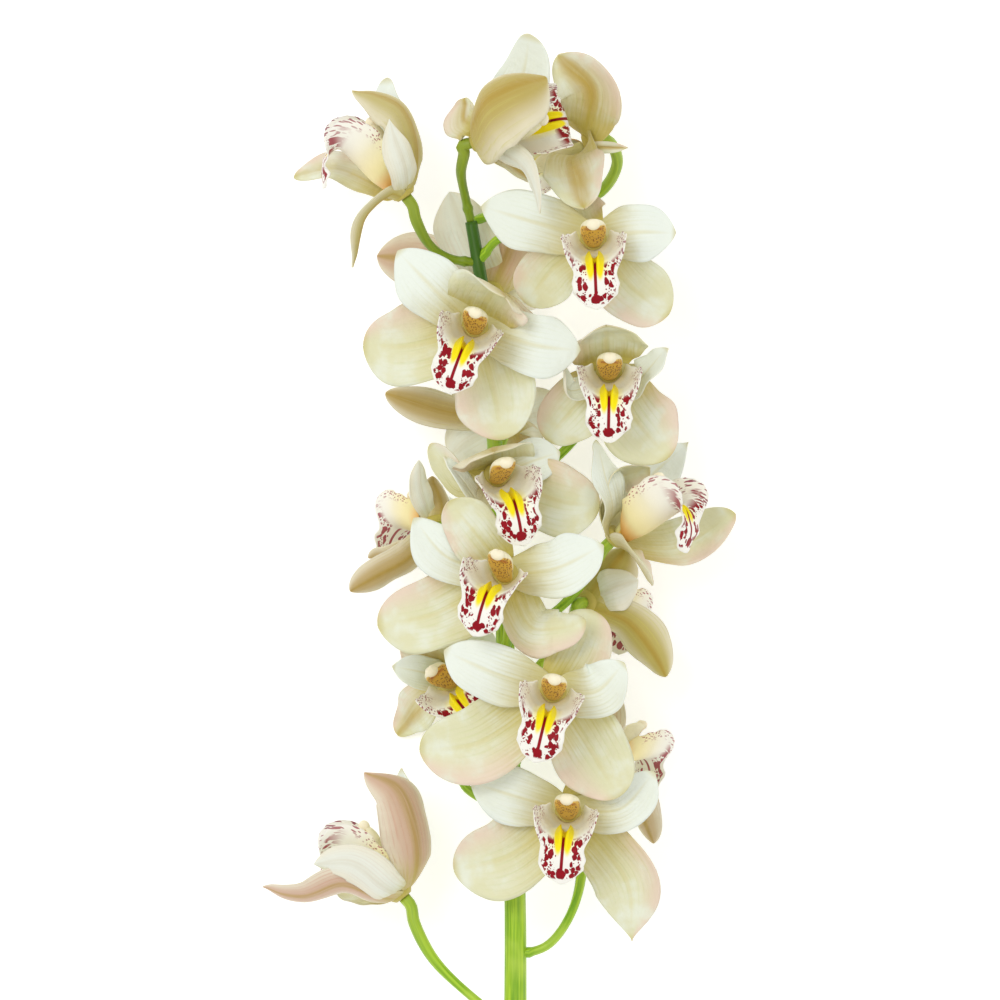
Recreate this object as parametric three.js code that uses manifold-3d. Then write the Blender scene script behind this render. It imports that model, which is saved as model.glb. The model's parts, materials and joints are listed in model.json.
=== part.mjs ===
// Cymbidium orchid stem: a cut flower spike with 18 blooms, lying on a table on its back.
// Millimetres, +Z up from the table, +Y along the stem towards its tip.
import * as THREE from 'three';
import Module from 'manifold-3d';
import { mergeVertices } from 'three/addons/utils/BufferGeometryUtils.js';

const wasm = await Module();
wasm.setup();

// ---- Driving dimensions, millimetres ----
const UNIT = 0.44; // one step of the layout grid in which the blooms are placed
const TEPAL_THICKNESS = 1.0;
const LIP_THICKNESS = 1.0;
const RECEPTACLE_RADIUS = 5.9;
const RECEPTACLE_DEPTH = 4.6;
const RECEPTACLE_SIDES = 6;
const SEAT_GAP = 0.32; // clearance between pieces that touch
const WELD = 1e-4; // points closer than this are one
const PETAL_DEPTH = 1; // of the petals' feet below the face of the receptacle
const SEPAL_DEPTH = 2.5; // of the sepals' feet, behind the petals
const FOOT_START = 1.2; // of a tepal's foot from the bloom's axis
const CLAW_LENGTH = 5.5; // narrow foot of each tepal, where it leaves the receptacle
const STEM_RADIUS_CUT = 5.4;
const STEM_RADIUS_TIP = 2.7;
const PEDICEL_RADIUS = 1.9;
const OVARY_RADIUS = 2.6;
const STEM_HEIGHT = 118; // of the stem's axis above the table, layout units

// ---- Layout grid: x to the right, y down the stem from its tip, z up from the table ----
const GRID_MIDDLE_X = 500.2;
const GRID_MIDDLE_Y = 647.3;

const point = ([x, y, z]) =>
  new THREE.Vector3((x - GRID_MIDDLE_X) * UNIT, (GRID_MIDDLE_Y - y) * UNIT, z * UNIT);
const direction = ([x, y, z]) => new THREE.Vector3(x, -y, z).normalize();

// ---- Colours ----
const material = (color, roughness) =>
  new THREE.MeshStandardMaterial({ color, roughness, metalness: 0 });
const TEPAL_MATERIAL = { color: 0xe9e7cf, roughness: 0.5 };
const LIP_MATERIAL = { color: 0xf3e3da, roughness: 0.45 };
const COLUMN_MATERIAL = { color: 0xb9803c, roughness: 0.45 };
const STEM_MATERIAL = { color: 0x86b32a, roughness: 0.4 };

// ---- Solids ----
const toSolid = (geometry) => {
  const bare = geometry.clone();
  bare.deleteAttribute('normal');
  bare.deleteAttribute('uv');
  const merged = mergeVertices(bare, WELD);
  const vertProperties = new Float32Array(merged.attributes.position.array);
  const triVerts = new Uint32Array(merged.index.array);
  return new wasm.Manifold(new wasm.Mesh({ numProp: 3, vertProperties, triVerts }));
};

const toGeometry = (solid) => {
  const { vertProperties, triVerts } = solid.getMesh();
  const geometry = new THREE.BufferGeometry();
  geometry.setAttribute('position', new THREE.BufferAttribute(vertProperties, 3));
  geometry.setIndex(new THREE.BufferAttribute(triVerts, 1));
  geometry.computeVertexNormals();
  return geometry;
};

const indexed = (points, triangles) => {
  const geometry = new THREE.BufferGeometry();
  const flat = points.flatMap((p) => [p.x, p.y, p.z]);
  geometry.setAttribute('position', new THREE.Float32BufferAttribute(flat, 3));
  geometry.setIndex(triangles);
  return geometry;
};

// A closed sheet of even thickness round a grid of points, split alike on both faces.
function sheet(grid, thickness) {
  const rows = grid.length;
  const columns = grid[0].length;
  const clampRow = (i) => THREE.MathUtils.clamp(i, 0, rows - 1);
  const clampColumn = (j) => THREE.MathUtils.clamp(j, 0, columns - 1);
  const upper = [];
  const lower = [];
  for (let i = 0; i < rows; i += 1) {
    for (let j = 0; j < columns; j += 1) {
      const along = grid[clampRow(i + 1)][j].clone().sub(grid[clampRow(i - 1)][j]);
      const across = grid[i][clampColumn(j + 1)].clone().sub(grid[i][clampColumn(j - 1)]);
      const half = along.cross(across).setLength(thickness / 2);
      upper.push(grid[i][j].clone().add(half));
      lower.push(grid[i][j].clone().sub(half));
    }
  }
  const count = rows * columns;
  const at = (i, j) => i * columns + j;
  const triangles = [];
  const quad = (a, b, c, d) => triangles.push(a, b, c, a, c, d);
  for (let i = 0; i < rows - 1; i += 1) {
    for (let j = 0; j < columns - 1; j += 1) {
      const [a, b, c, d] = [at(i, j), at(i + 1, j), at(i + 1, j + 1), at(i, j + 1)];
      const falling = grid[i][j].distanceTo(grid[i + 1][j + 1]);
      const rising = grid[i + 1][j].distanceTo(grid[i][j + 1]);
      const ring = falling <= rising ? [a, b, c, d] : [b, c, d, a];
      quad(...ring);
      const [e, f, g, h] = ring.map((k) => k + count);
      triangles.push(e, g, f, e, h, g);
    }
  }
  for (let i = 0; i < rows - 1; i += 1) {
    const [near, next] = [at(i, 0), at(i + 1, 0)];
    quad(near, near + count, next + count, next);
    const [far, further] = [at(i, columns - 1), at(i + 1, columns - 1)];
    quad(far, further, further + count, far + count);
  }
  for (let j = 0; j < columns - 1; j += 1) {
    const [near, next] = [at(0, j), at(0, j + 1)];
    quad(near, next, next + count, near + count);
    const [far, further] = [at(rows - 1, j), at(rows - 1, j + 1)];
    quad(far, far + count, further + count, further);
  }
  return indexed([...upper, ...lower], triangles);
}

// A closed body through rings of points, with flat ends.
function loft(rings) {
  const sides = rings[0].length;
  const triangles = [];
  for (let i = 0; i < rings.length - 1; i += 1) {
    for (let k = 0; k < sides; k += 1) {
      const next = (k + 1) % sides;
      const [a, b] = [i * sides + k, i * sides + next];
      const [c, d] = [(i + 1) * sides + next, (i + 1) * sides + k];
      triangles.push(a, c, b, a, d, c);
    }
  }
  const last = (rings.length - 1) * sides;
  for (let k = 1; k < sides - 1; k += 1) {
    triangles.push(0, k, k + 1);
    triangles.push(last, last + k + 1, last + k);
  }
  return indexed(rings.flat(), triangles);
}

// Frames carried along a curve without twist, starting with the given normal.
function framesAlong(curve, steps, firstNormal) {
  const frames = [];
  const normal = firstNormal.clone();
  for (const t of steps) {
    const tangent = curve.getTangentAt(t);
    normal.addScaledVector(tangent, -normal.dot(tangent)).normalize();
    const side = new THREE.Vector3().crossVectors(normal, tangent);
    frames.push({ t, at: curve.getPointAt(t), tangent, normal: normal.clone(), side });
  }
  return frames;
}

const NEARLY_UPRIGHT = 0.9; // cosine past which a tube is too steep to be framed by the upward axis

const evenSteps = (count) => Array.from({ length: count + 1 }, (_, i) => i / count);

function tube(places, radiusAt, sides, segments) {
  const curve = new THREE.CatmullRomCurve3(places, false, 'centripetal');
  const start = curve.getTangentAt(0);
  const reference = new THREE.Vector3(0, 0, 1);
  if (Math.abs(start.dot(reference)) > NEARLY_UPRIGHT) reference.set(1, 0, 0);
  const rings = framesAlong(curve, evenSteps(segments), reference).map((frame) => {
    const radius = radiusAt(frame.t);
    return Array.from({ length: sides }, (_, k) => {
      const angle = (2 * Math.PI * k) / sides;
      return frame.at
        .clone()
        .addScaledVector(frame.side, -radius * Math.cos(angle))
        .addScaledVector(frame.normal, radius * Math.sin(angle));
    });
  });
  return loft(rings);
}

const FLAT_ANGLE = 0.02;

// Offset across a blade that is bent into an arc: half width, half angle, place from -1 to 1.
function arc(half, angle, s) {
  if (Math.abs(angle) < FLAT_ANGLE) return { lateral: half * s, rise: 0 };
  const radius = half / angle;
  return { lateral: radius * Math.sin(s * angle), rise: radius * (1 - Math.cos(s * angle)) };
}

// ---- Tepals ----
const TEPAL_ROWS = [0, 0.2, 0.5, 0.82, 1];
const TEPAL_PLACES = [-1, 0, 1];
const PEAK = 0.58; // where a tepal is widest, as a share of its length
const PETAL_TAPER = 0.8; // how pointed the end is: 0.5 is round and 1 is pointed
const SEPAL_TAPER = 0.55;
const FOOT_WIDTH = 0.4; // width of a tepal at its foot and near its tip, as shares of its width
const TIP_WIDTH = 0.2;
const SHOULDER = 0.8; // how fast a tepal widens from its foot: below 1 is faster
const ROLL_LENGTH = 0.25; // share of the length over which a tepal turns about its midrib
const FOOT_CUP = 0.4; // share of the cup at the foot
const CUP_GROWTH = 1.5; // share of the cup added along the whole length, up to the full cup

function tepalHalfWidth(t, wide, taper) {
  const half = (wide * UNIT) / 2;
  if (t < PEAK) {
    const widening = Math.sin((Math.PI / 2) * (t / PEAK)) ** SHOULDER;
    return half * (FOOT_WIDTH + (1 - FOOT_WIDTH) * widening);
  }
  const beyond = (t - PEAK) / (1 - PEAK);
  return half * Math.max((1 - beyond ** 2) ** taper, TIP_WIDTH);
}

// path: places along the midrib; wide: full width in layout units; lean: share by which one side
// is wider than the other; cup: half angle of the arc across the blade; roll: turn about the
// midrib in degrees; taper: how pointed the end is.
function tepal(bloom, shape, petal) {
  const { path, wide, cup, lean = 0, roll = 0, taper = petal ? PETAL_TAPER : SEPAL_TAPER } = shape;
  const heart = point(bloom.heart);
  const face = direction(bloom.face);
  const places = path.map(point);
  const outward = places[0].clone().sub(heart);
  outward.addScaledVector(face, -outward.dot(face)).normalize();
  const base = heart.clone().addScaledVector(face, -(petal ? PETAL_DEPTH : SEPAL_DEPTH));
  const foot = base.clone().addScaledVector(outward, FOOT_START);
  const claw = base.clone().addScaledVector(outward, CLAW_LENGTH);
  const curve = new THREE.CatmullRomCurve3([foot, claw, ...places], false, 'centripetal');
  const grid = framesAlong(curve, TEPAL_ROWS, face).map(({ t, at, tangent, normal, side }) => {
    const turn = THREE.MathUtils.degToRad(roll) * Math.min(1, t / ROLL_LENGTH);
    normal.applyAxisAngle(tangent, turn);
    side.applyAxisAngle(tangent, turn);
    const half = tepalHalfWidth(t, wide, taper);
    const bend = cup * Math.min(1, FOOT_CUP + t * CUP_GROWTH);
    return TEPAL_PLACES.map((s) => {
      const { lateral, rise } = arc(half * (1 + lean * s), bend, s);
      return at.clone().addScaledVector(side, lateral).addScaledVector(normal, rise);
    });
  });
  return sheet(grid, TEPAL_THICKNESS);
}

const KNOB_HEEL = 0.7; // radius of the knob where the pedicel meets it, as a share of the full one
const KNOB_SHOULDER = 0.4; // depth of its widest place below its face, as a share of its depth

// Short knob on which the tepals, the lip and the column sit.
function receptacle(bloom) {
  const knob = new THREE.LatheGeometry(
    [
      new THREE.Vector2(0, -RECEPTACLE_DEPTH),
      new THREE.Vector2(RECEPTACLE_RADIUS * KNOB_HEEL, -RECEPTACLE_DEPTH),
      new THREE.Vector2(RECEPTACLE_RADIUS, -RECEPTACLE_DEPTH * KNOB_SHOULDER),
      new THREE.Vector2(RECEPTACLE_RADIUS, 0),
      new THREE.Vector2(0, 0),
    ],
    RECEPTACLE_SIDES,
  );
  const turn = new THREE.Quaternion();
  turn.setFromUnitVectors(new THREE.Vector3(0, 1, 0), direction(bloom.face));
  return knob.applyQuaternion(turn).translate(...point(bloom.heart).toArray());
}

// ---- Lip and column, in the bloom's own frame: forward from its face, up to its dorsal sepal ----
const LIP_ROWS = [
  // t: half width, half angle of the arc, of the blade at that share of the lip's length
  { t: 0, half: 5, angle: 1.1 },
  { t: 0.08, half: 14.5, angle: 1.9 },
  { t: 0.2, half: 21, angle: 2 },
  { t: 0.36, half: 23.5, angle: 1.95 },
  { t: 0.54, half: 24, angle: 1.75 },
  { t: 0.65, half: 11.5, angle: 0.75 },
  { t: 0.78, half: 10.4, angle: -0.15 },
  { t: 0.92, half: 8.6, angle: -0.5 },
  { t: 1, half: 3, angle: -0.6 },
];
const LIP_PATH = [
  // forward, up
  [SEAT_GAP + 0.03 + LIP_THICKNESS, -5.2],
  [10, -8.2],
  [21, -10],
  [30, -12.6],
  [33.5, -20.5],
  [30, -31],
];
const LIP_BEND = 3; // the place in that path round which a recurved midlobe is turned
const LIP_PLACES = [-1, -0.5, 0, 0.5, 1];
const SIDE_LOBES = [2, 3, 4]; // the rows of the lip that rise on both sides of the column
const OPEN_WIDTH = 0.8; // of the side lobes of an open lip, as a share of a closed one's
const OPEN_ANGLE = 0.86;
const COLUMN_PATH = [
  // forward, up
  [SEAT_GAP + 0.6, -0.6],
  [8, 0.6],
  [17, 3.2],
  [25, 5.8],
  [33, 5.6],
];
const COLUMN_SECTIONS = [
  // half width, half depth
  [4, 3.2],
  [4.8, 3.3],
  [5.3, 3.2],
  [5.1, 3.2],
  [3.4, 2.4],
];
const COLUMN_SIDES = 6;
const COLUMN_TURN = 0.25; // of the column's corners, as a share of one side

function bloomFrame(bloom) {
  const forward = direction(bloom.face);
  const up = direction(bloom.up);
  up.addScaledVector(forward, -up.dot(forward)).normalize();
  const side = new THREE.Vector3().crossVectors(up, forward);
  return { origin: point(bloom.heart), forward, up, side };
}

const place = ({ origin, forward, up, side }, f, u, s) =>
  origin
    .clone()
    .addScaledVector(forward, f)
    .addScaledVector(up, u)
    .addScaledVector(side, s);

// Frames along a path of [forward, up] pairs; only its first pair, the seat, keeps its size.
function bloomCurve(bloom, path, steps) {
  const frame = bloomFrame(bloom);
  const size = bloom.size ?? 1;
  const [seat, ...others] = path;
  const middle = [seat, ...others.map((pair) => pair.map((k) => k * size))];
  const places = middle.map(([f, u]) => place(frame, f, u, 0));
  const curve = new THREE.CatmullRomCurve3(places, false, 'centripetal');
  return { size, rows: framesAlong(curve, steps, frame.up) };
}

function lip(bloom) {
  const turn = THREE.MathUtils.degToRad(bloom.recurve ?? 0);
  const [bendForward, bendUp] = LIP_PATH[LIP_BEND];
  const path = LIP_PATH.map(([f, u], i) => {
    if (i <= LIP_BEND) return [f, u];
    const [x, y] = [f - bendForward, u - bendUp];
    return [
      bendForward + x * Math.cos(turn) + y * Math.sin(turn),
      bendUp - x * Math.sin(turn) + y * Math.cos(turn),
    ];
  });
  const { size, rows } = bloomCurve(bloom, path, LIP_ROWS.map(({ t }) => t));
  const grid = rows.map(({ at, normal, side }, i) => {
    const spread = bloom.open && SIDE_LOBES.includes(i);
    const half = LIP_ROWS[i].half * size * (spread ? OPEN_WIDTH : 1);
    const angle = LIP_ROWS[i].angle * (spread ? OPEN_ANGLE : 1);
    return LIP_PLACES.map((s) => {
      const { lateral, rise } = arc(half, angle, s);
      return at.clone().addScaledVector(side, lateral).addScaledVector(normal, rise);
    });
  });
  return sheet(grid, LIP_THICKNESS);
}

function column(bloom) {
  const { size, rows } = bloomCurve(bloom, COLUMN_PATH, evenSteps(COLUMN_PATH.length - 1));
  const rings = rows.map(({ at, normal, side }, i) =>
    Array.from({ length: COLUMN_SIDES }, (_, k) => {
      const angle = (2 * Math.PI * (k + COLUMN_TURN)) / COLUMN_SIDES;
      const [wide, deep] = COLUMN_SECTIONS[i];
      return at
        .clone()
        .addScaledVector(side, -wide * size * Math.cos(angle))
        .addScaledVector(normal, deep * size * Math.sin(angle));
    }),
  );
  return loft(rings);
}

// ---- Blooms: heart, facing direction, up direction, tepals and pedicel in the layout grid ----
// size: of the lip and the column; recurve: degrees by which the midlobe is bent back further;
// open: the lip's side lobes are spread; rests: a tepal lies flat on the table;
// pedicel: its place on the stem, and the places it passes.
const BLOOMS = [
  {
    name: 'bloom_01',
    heart: [400, 188, 150],
    face: [-0.57, -0.82, 0.1],
    up: [0.82, -0.57, 0],
    recurve: 35,
    tepals: {
      dorsal: {
        path: [[416, 166, 150], [414, 136, 152], [399, 106, 152], [353, 88, 148]],
        wide: 74, cup: 0.9, roll: -33, taper: 0.8,
      },
      petal_near: {
        path: [[404, 168, 198], [396, 144, 206], [389, 121, 198]],
        wide: 36, cup: 0.4, taper: 1.2,
      },
      petal_far: {
        path: [[402, 146, 108], [388, 108, 100], [385, 76, 98]],
        wide: 42, cup: 0.4, taper: 0.5,
      },
      sepal_near: {
        path: [[392, 194, 172], [376, 205, 182], [364, 220, 182], [354, 268, 166]],
        wide: 30, cup: 0.8, taper: 1,
      },
      sepal_far: { path: [[370, 182, 118], [334, 168, 100], [293, 176, 94]], wide: 44, cup: 0.5 },
    },
    pedicel: { from: 262, via: [[450, 258, 120], [430, 245, 132], [416, 220, 146]] },
  },
  {
    name: 'bloom_02',
    heart: [482, 140, 172],
    face: [0.92, -0.28, 0.28],
    up: [-0.3, 0, 0.95],
    tepals: {
      dorsal: {
        path: [[474, 126, 208], [486, 104, 236], [512, 90, 244], [546, 79, 228]],
        wide: 92, cup: 0.9, lean: 0.25,
      },
      petal_up: {
        path: [[498, 112, 138], [522, 76, 140], [530, 34, 156]],
        wide: 56, cup: 0.3, roll: -55, lean: -0.2, taper: 0.45,
      },
      petal_down: {
        path: [[498, 152, 206], [523, 168, 226], [534, 190, 234], [540, 215, 230]],
        wide: 36, cup: 0.5,
      },
      sepal_up: {
        path: [[469, 126, 170], [464, 120, 158], [467, 99, 150]],
        wide: 44, cup: 0.6, roll: -85,
      },
      sepal_down: { path: [[500, 158, 148], [531, 180, 140]], wide: 42, cup: 0.8 },
    },
    pedicel: { from: 221, via: [[466, 200, 122], [461, 172, 145], [464, 152, 162]] },
  },
  {
    name: 'bloom_03',
    heart: [586, 146, 98],
    face: [-0.92, 0.36, -0.15],
    up: [0.12, 0, 0.98],
    size: 0.8,
    tepals: {
      dorsal: { path: [[598, 146, 122], [628, 147, 128]], wide: 15, cup: 0.8, taper: 1 },
      sepal_up: {
        path: [[588, 116, 120], [590, 88, 138], [558, 56, 152]],
        wide: 70, cup: 0.6, roll: 72,
      },
      sepal_down: {
        path: [[575, 157, 134], [578, 182, 186], [584, 210, 216]],
        wide: 66, cup: 0.6, roll: -102,
      },
      petal_up: { path: [[592, 112, 74], [588, 88, 60]], wide: 36, cup: 0.4 },
      petal_down: { path: [[590, 184, 74], [588, 204, 62]], wide: 26, cup: 0.4 },
    },
    pedicel: { from: 221, via: [[500, 212, 100], [550, 204, 60], [598, 192, 46], [618, 160, 76]] },
  },
  {
    name: 'bloom_04',
    heart: [593, 240, 190],
    face: [0, 0, 1],
    up: [-0.04, -1, 0],
    open: true,
    tepals: {
      dorsal: { path: [[583, 220, 164], [578, 200, 134]], wide: 54, cup: 0.5 },
      petal_l: { path: [[530, 222, 192], [482, 207, 183]], wide: 62, cup: 0.2 },
      petal_r: { path: [[638, 233, 200], [675, 234, 190]], wide: 58, cup: 0.2 },
      sepal_l: { path: [[552, 270, 176], [526, 304, 168]], wide: 66, cup: 0.7 },
      sepal_r: { path: [[632, 288, 184], [668, 316, 178]], wide: 70, cup: 0.4 },
    },
    pedicel: { from: 262, via: [[500, 238, 130], [540, 240, 150], [575, 246, 170]] },
  },
  {
    name: 'bloom_05',
    heart: [475, 327, 205],
    face: [-0.06, 0, 1],
    up: [0.335, -0.94, 0],
    open: true,
    tepals: {
      dorsal: { path: [[486, 303, 222], [496, 291, 254], [506, 298, 278]], wide: 92, cup: 0.5 },
      petal_l: { path: [[436, 292, 216], [398, 252, 206]], wide: 62, cup: 0.2 },
      petal_r: { path: [[536, 346, 216], [581, 351, 200]], wide: 64, cup: 0.2 },
      sepal_l: { path: [[412, 346, 194], [364, 346, 186]], wide: 84, cup: 0.4 },
      sepal_r: { path: [[494, 392, 198], [502, 440, 194]], wide: 84, cup: 0.4 },
    },
    pedicel: { from: 400, via: [[486, 370, 150], [480, 344, 178]] },
  },
  {
    name: 'bloom_06',
    heart: [609, 372, 152],
    face: [0, 0, 1],
    up: [0.02, -1, 0],
    open: true,
    tepals: {
      dorsal: { path: [[606, 348, 160], [606, 334, 176], [606, 328, 196]], wide: 84, cup: 0.6 },
      petal_l: { path: [[584, 388, 168], [568, 390, 180], [564, 366, 188]], wide: 28, cup: 1.0 },
      petal_r: { path: [[636, 382, 168], [650, 368, 180], [667, 348, 184]], wide: 44, cup: 0.4 },
      sepal_l: { path: [[574, 408, 144], [546, 440, 138]], wide: 64, cup: 0.4 },
      sepal_r: { path: [[638, 422, 156], [668, 458, 156]], wide: 78, cup: 0.3 },
    },
    pedicel: { from: 478, via: [[548, 464, 120], [585, 425, 125], [604, 392, 132]] },
  },
  {
    name: 'bloom_07',
    heart: [497, 476, 152],
    face: [0.17, 0, 0.98],
    up: [-0.2, -0.98, 0],
    open: true,
    tepals: {
      dorsal: { path: [[494, 458, 160], [493, 449, 178], [494, 450, 200]], wide: 86, cup: 0.4 },
      petal_l: { path: [[478, 500, 168], [462, 480, 176], [442, 459, 174]], wide: 36, cup: 0.6 },
      petal_r: { path: [[530, 462, 156], [560, 452, 150]], wide: 46, cup: 0.4 },
      sepal_l: { path: [[462, 484, 142], [448, 466, 140], [430, 444, 134]], wide: 32, cup: 0.8 },
      sepal_r: { path: [[556, 500, 152], [600, 506, 146]], wide: 76, cup: 0.4 },
    },
    pedicel: { from: 560, via: [[508, 530, 132], [502, 500, 140]] },
  },
  {
    name: 'bloom_08',
    heart: [619, 534, 126],
    face: [0.68, -0.66, 0.33],
    up: [-0.55, -0.75, -0.3],
    recurve: 35,
    tepals: {
      dorsal: { path: [[604, 508, 118], [614, 482, 116], [649, 466, 108]], wide: 60, cup: 0.8 },
      petal_near: {
        path: [[612, 506, 146], [604, 474, 146], [596, 440, 132]],
        wide: 48, cup: 0.3, roll: -45,
      },
      petal_far: { path: [[650, 478, 84], [690, 442, 70]], wide: 54, cup: 0.5, taper: 1.1 },
      sepal_near: { path: [[626, 548, 150], [638, 562, 162], [651, 586, 158]], wide: 44, cup: 0.8 },
      sepal_far: { path: [[676, 548, 92], [736, 513, 84]], wide: 66, cup: 0.4 },
    },
    pedicel: { from: 640, via: [[560, 608, 118], [588, 574, 118], [600, 555, 120]] },
  },
  {
    name: 'bloom_09',
    heart: [434, 524, 106],
    face: [-0.45, -0.3, -0.84],
    up: [0.4, -0.9, 0.15],
    size: 0.85,
    tepals: {
      dorsal: { path: [[440, 500, 104], [430, 478, 98]], wide: 44, cup: 0.8 },
      petal_near: { path: [[424, 502, 128], [419, 482, 134], [420, 460, 132]], wide: 24, cup: 0.4 },
      petal_far: { path: [[452, 520, 60], [446, 500, 30]], wide: 44, cup: 0.4 },
      sepal_near: { path: [[408, 558, 122], [380, 574, 124], [350, 591, 118]], wide: 40, cup: 0.7 },
      sepal_far: { path: [[412, 552, 84], [368, 556, 66]], wide: 42, cup: 0.5 },
    },
    pedicel: { from: 610, via: [[480, 588, 112], [454, 552, 116]] },
  },
  {
    name: 'bloom_10',
    heart: [505, 574, 196],
    face: [-0.16, -0.1, 0.98],
    up: [0.25, -0.95, 0],
    open: true,
    tepals: {
      dorsal: { path: [[478, 536, 206], [449, 501, 210]], wide: 58, cup: 0.5 },
      petal_l: { path: [[446, 556, 208], [414, 518, 200]], wide: 52, cup: 0.3 },
      petal_r: { path: [[556, 568, 206], [603, 545, 204]], wide: 60, cup: 0.2 },
      sepal_l: { path: [[434, 614, 186], [378, 624, 178]], wide: 78, cup: 0.4 },
      sepal_r: { path: [[530, 626, 200], [556, 628, 217], [585, 622, 213]], wide: 56, cup: -0.7 },
    },
    pedicel: { from: 655, via: [[508, 622, 142], [508, 592, 168]] },
  },
  {
    name: 'bloom_11',
    heart: [590, 602, 96],
    face: [0.55, -0.1, -0.83],
    up: [0.1, -0.99, 0.05],
    size: 0.85,
    tepals: {
      dorsal: { path: [[606, 576, 104], [626, 550, 94]], wide: 62, cup: 0.7 },
      petal_near: { path: [[612, 590, 116], [639, 580, 110]], wide: 46, cup: 0.5 },
      petal_far: { path: [[575, 590, 60], [580, 575, 30]], wide: 50, cup: 0.4 },
      sepal_near: { path: [[628, 622, 106], [652, 650, 104], [667, 676, 96]], wide: 50, cup: 0.8 },
      sepal_far: { path: [[588, 640, 60], [600, 660, 32]], wide: 50, cup: 0.4 },
    },
    pedicel: { from: 700, via: [[540, 665, 112], [572, 628, 108]] },
  },
  {
    name: 'bloom_12',
    heart: [451, 681, 76],
    face: [-0.15, 0, 0.98],
    up: [-0.67, -0.74, 0],
    open: true,
    rests: true,
    tepals: {
      dorsal: { path: [[432, 658, 84], [402, 642, 84]], wide: 56, cup: 0.5 },
      petal_l: { path: [[418, 672, 92], [392, 667, 98]], wide: 38, cup: 0.7 },
      petal_r: { path: [[470, 655, 70], [490, 630, 60]], wide: 50, cup: 0.3 },
      sepal_l: { path: [[424, 702, 46], [408, 722, 6], [398, 738, 0.9]], wide: 46, cup: 0.3 },
      sepal_r: { path: [[485, 700, 64], [505, 722, 50]], wide: 56, cup: 0.5 },
    },
    pedicel: { from: 830, via: [[494, 808, 116], [464, 786, 104], [462, 745, 66], [456, 705, 46]] },
  },
  {
    name: 'bloom_13',
    heart: [553, 691, 208],
    face: [-0.03, 0, 1],
    up: [0.23, -0.97, 0],
    open: true,
    tepals: {
      dorsal: { path: [[578, 650, 188], [594, 611, 172]], wide: 66, cup: 0.5 },
      petal_l: { path: [[498, 674, 216], [444, 650, 208]], wide: 60, cup: 0.2 },
      petal_r: { path: [[596, 690, 218], [624, 662, 226]], wide: 58, cup: 0.4 },
      sepal_l: { path: [[478, 742, 198], [420, 750, 190]], wide: 80, cup: 0.4 },
      sepal_r: { path: [[592, 752, 200], [618, 796, 192]], wide: 80, cup: 0.4 },
    },
    pedicel: { from: 770, via: [[530, 740, 150], [550, 712, 178]] },
  },
  {
    name: 'bloom_14',
    heart: [607, 755, 92],
    face: [0.62, -0.3, -0.72],
    up: [-0.1, -0.95, 0.3],
    size: 0.85,
    rests: true,
    tepals: {
      dorsal: { path: [[606, 722, 84], [600, 686, 76]], wide: 50, cup: 0.7 },
      petal_near: { path: [[604, 740, 130], [614, 735, 158]], wide: 40, cup: 0.4 },
      petal_far: { path: [[586, 745, 66], [582, 735, 36]], wide: 46, cup: 0.3 },
      sepal_near: { path: [[634, 800, 104], [655, 844, 100]], wide: 46, cup: 0.8 },
      sepal_far: { path: [[614, 788, 50], [626, 808, 6], [638, 822, 0.9]], wide: 48, cup: 0.3 },
    },
    pedicel: { from: 862, via: [[560, 830, 118], [590, 788, 110]] },
  },
  {
    name: 'bloom_15',
    heart: [568, 811, 168],
    face: [-0.04, 0, 1],
    up: [0.08, -1, 0],
    open: true,
    tepals: {
      dorsal: { path: [[596, 784, 160], [606, 756, 152]], wide: 58, cup: 0.4 },
      petal_l: { path: [[516, 796, 176], [471, 782, 170]], wide: 58, cup: 0.2 },
      petal_r: { path: [[620, 808, 176], [654, 772, 168]], wide: 52, cup: 0.4 },
      sepal_l: { path: [[508, 856, 162], [454, 870, 156]], wide: 82, cup: 0.4 },
      sepal_r: {
        path: [[606, 852, 160], [628, 884, 160], [632, 941, 152]],
        wide: 72, cup: 0.7, taper: 1.3,
      },
    },
    pedicel: { from: 957, via: [[548, 946, 118], [573, 910, 124], [582, 860, 136], [574, 830, 150]] },
  },
  {
    name: 'bloom_16',
    heart: [397, 890, 110],
    face: [-0.62, -0.78, 0.05],
    up: [0.78, -0.62, 0],
    recurve: 40,
    tepals: {
      dorsal: {
        path: [[417, 860, 120], [411, 820, 128], [396, 788, 126], [364, 773, 118]],
        wide: 72, cup: 0.9, roll: -38, taper: 0.8,
      },
      petal_near: { path: [[383, 885, 158], [352, 862, 168], [314, 864, 158]], wide: 44, cup: 0.5 },
      petal_far: { path: [[404, 830, 78], [403, 770, 70]], wide: 50, cup: 0.4 },
      sepal_near: {
        path: [[374, 895, 142], [342, 884, 150], [304, 896, 150], [262, 889, 140]],
        wide: 42, cup: 0.6, taper: 0.9,
      },
      sepal_far: { path: [[368, 898, 74], [335, 890, 56]], wide: 46, cup: 0.5 },
    },
    pedicel: { from: 1030, via: [[473, 999, 116], [433, 960, 112], [414, 924, 110]] },
  },
  {
    name: 'bloom_17',
    heart: [492, 292, 84],
    face: [0.05, 0, -1],
    up: [0.2, -0.98, 0],
    size: 0.8,
    rests: true,
    tepals: {
      dorsal: { path: [[508, 250, 80], [516, 215, 68]], wide: 62, cup: 0.4 },
      petal_l: { path: [[470, 245, 86], [449, 190, 76]], wide: 62, cup: 0.3 },
      petal_r: { path: [[532, 284, 48], [548, 276, 6], [564, 268, 0.9]], wide: 50, cup: 0.3 },
      sepal_l: { path: [[430, 262, 74], [376, 254, 58]], wide: 60, cup: 0.4 },
      sepal_r: { path: [[515, 330, 62], [530, 352, 50]], wide: 50, cup: 0.4 },
    },
    pedicel: { from: 350, via: [[492, 326, 104], [493, 306, 97]] },
  },
  {
    name: 'bloom_18',
    heart: [506, 420, 84],
    face: [-0.1, 0, -1],
    up: [0.1, -1, 0],
    size: 0.8,
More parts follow.
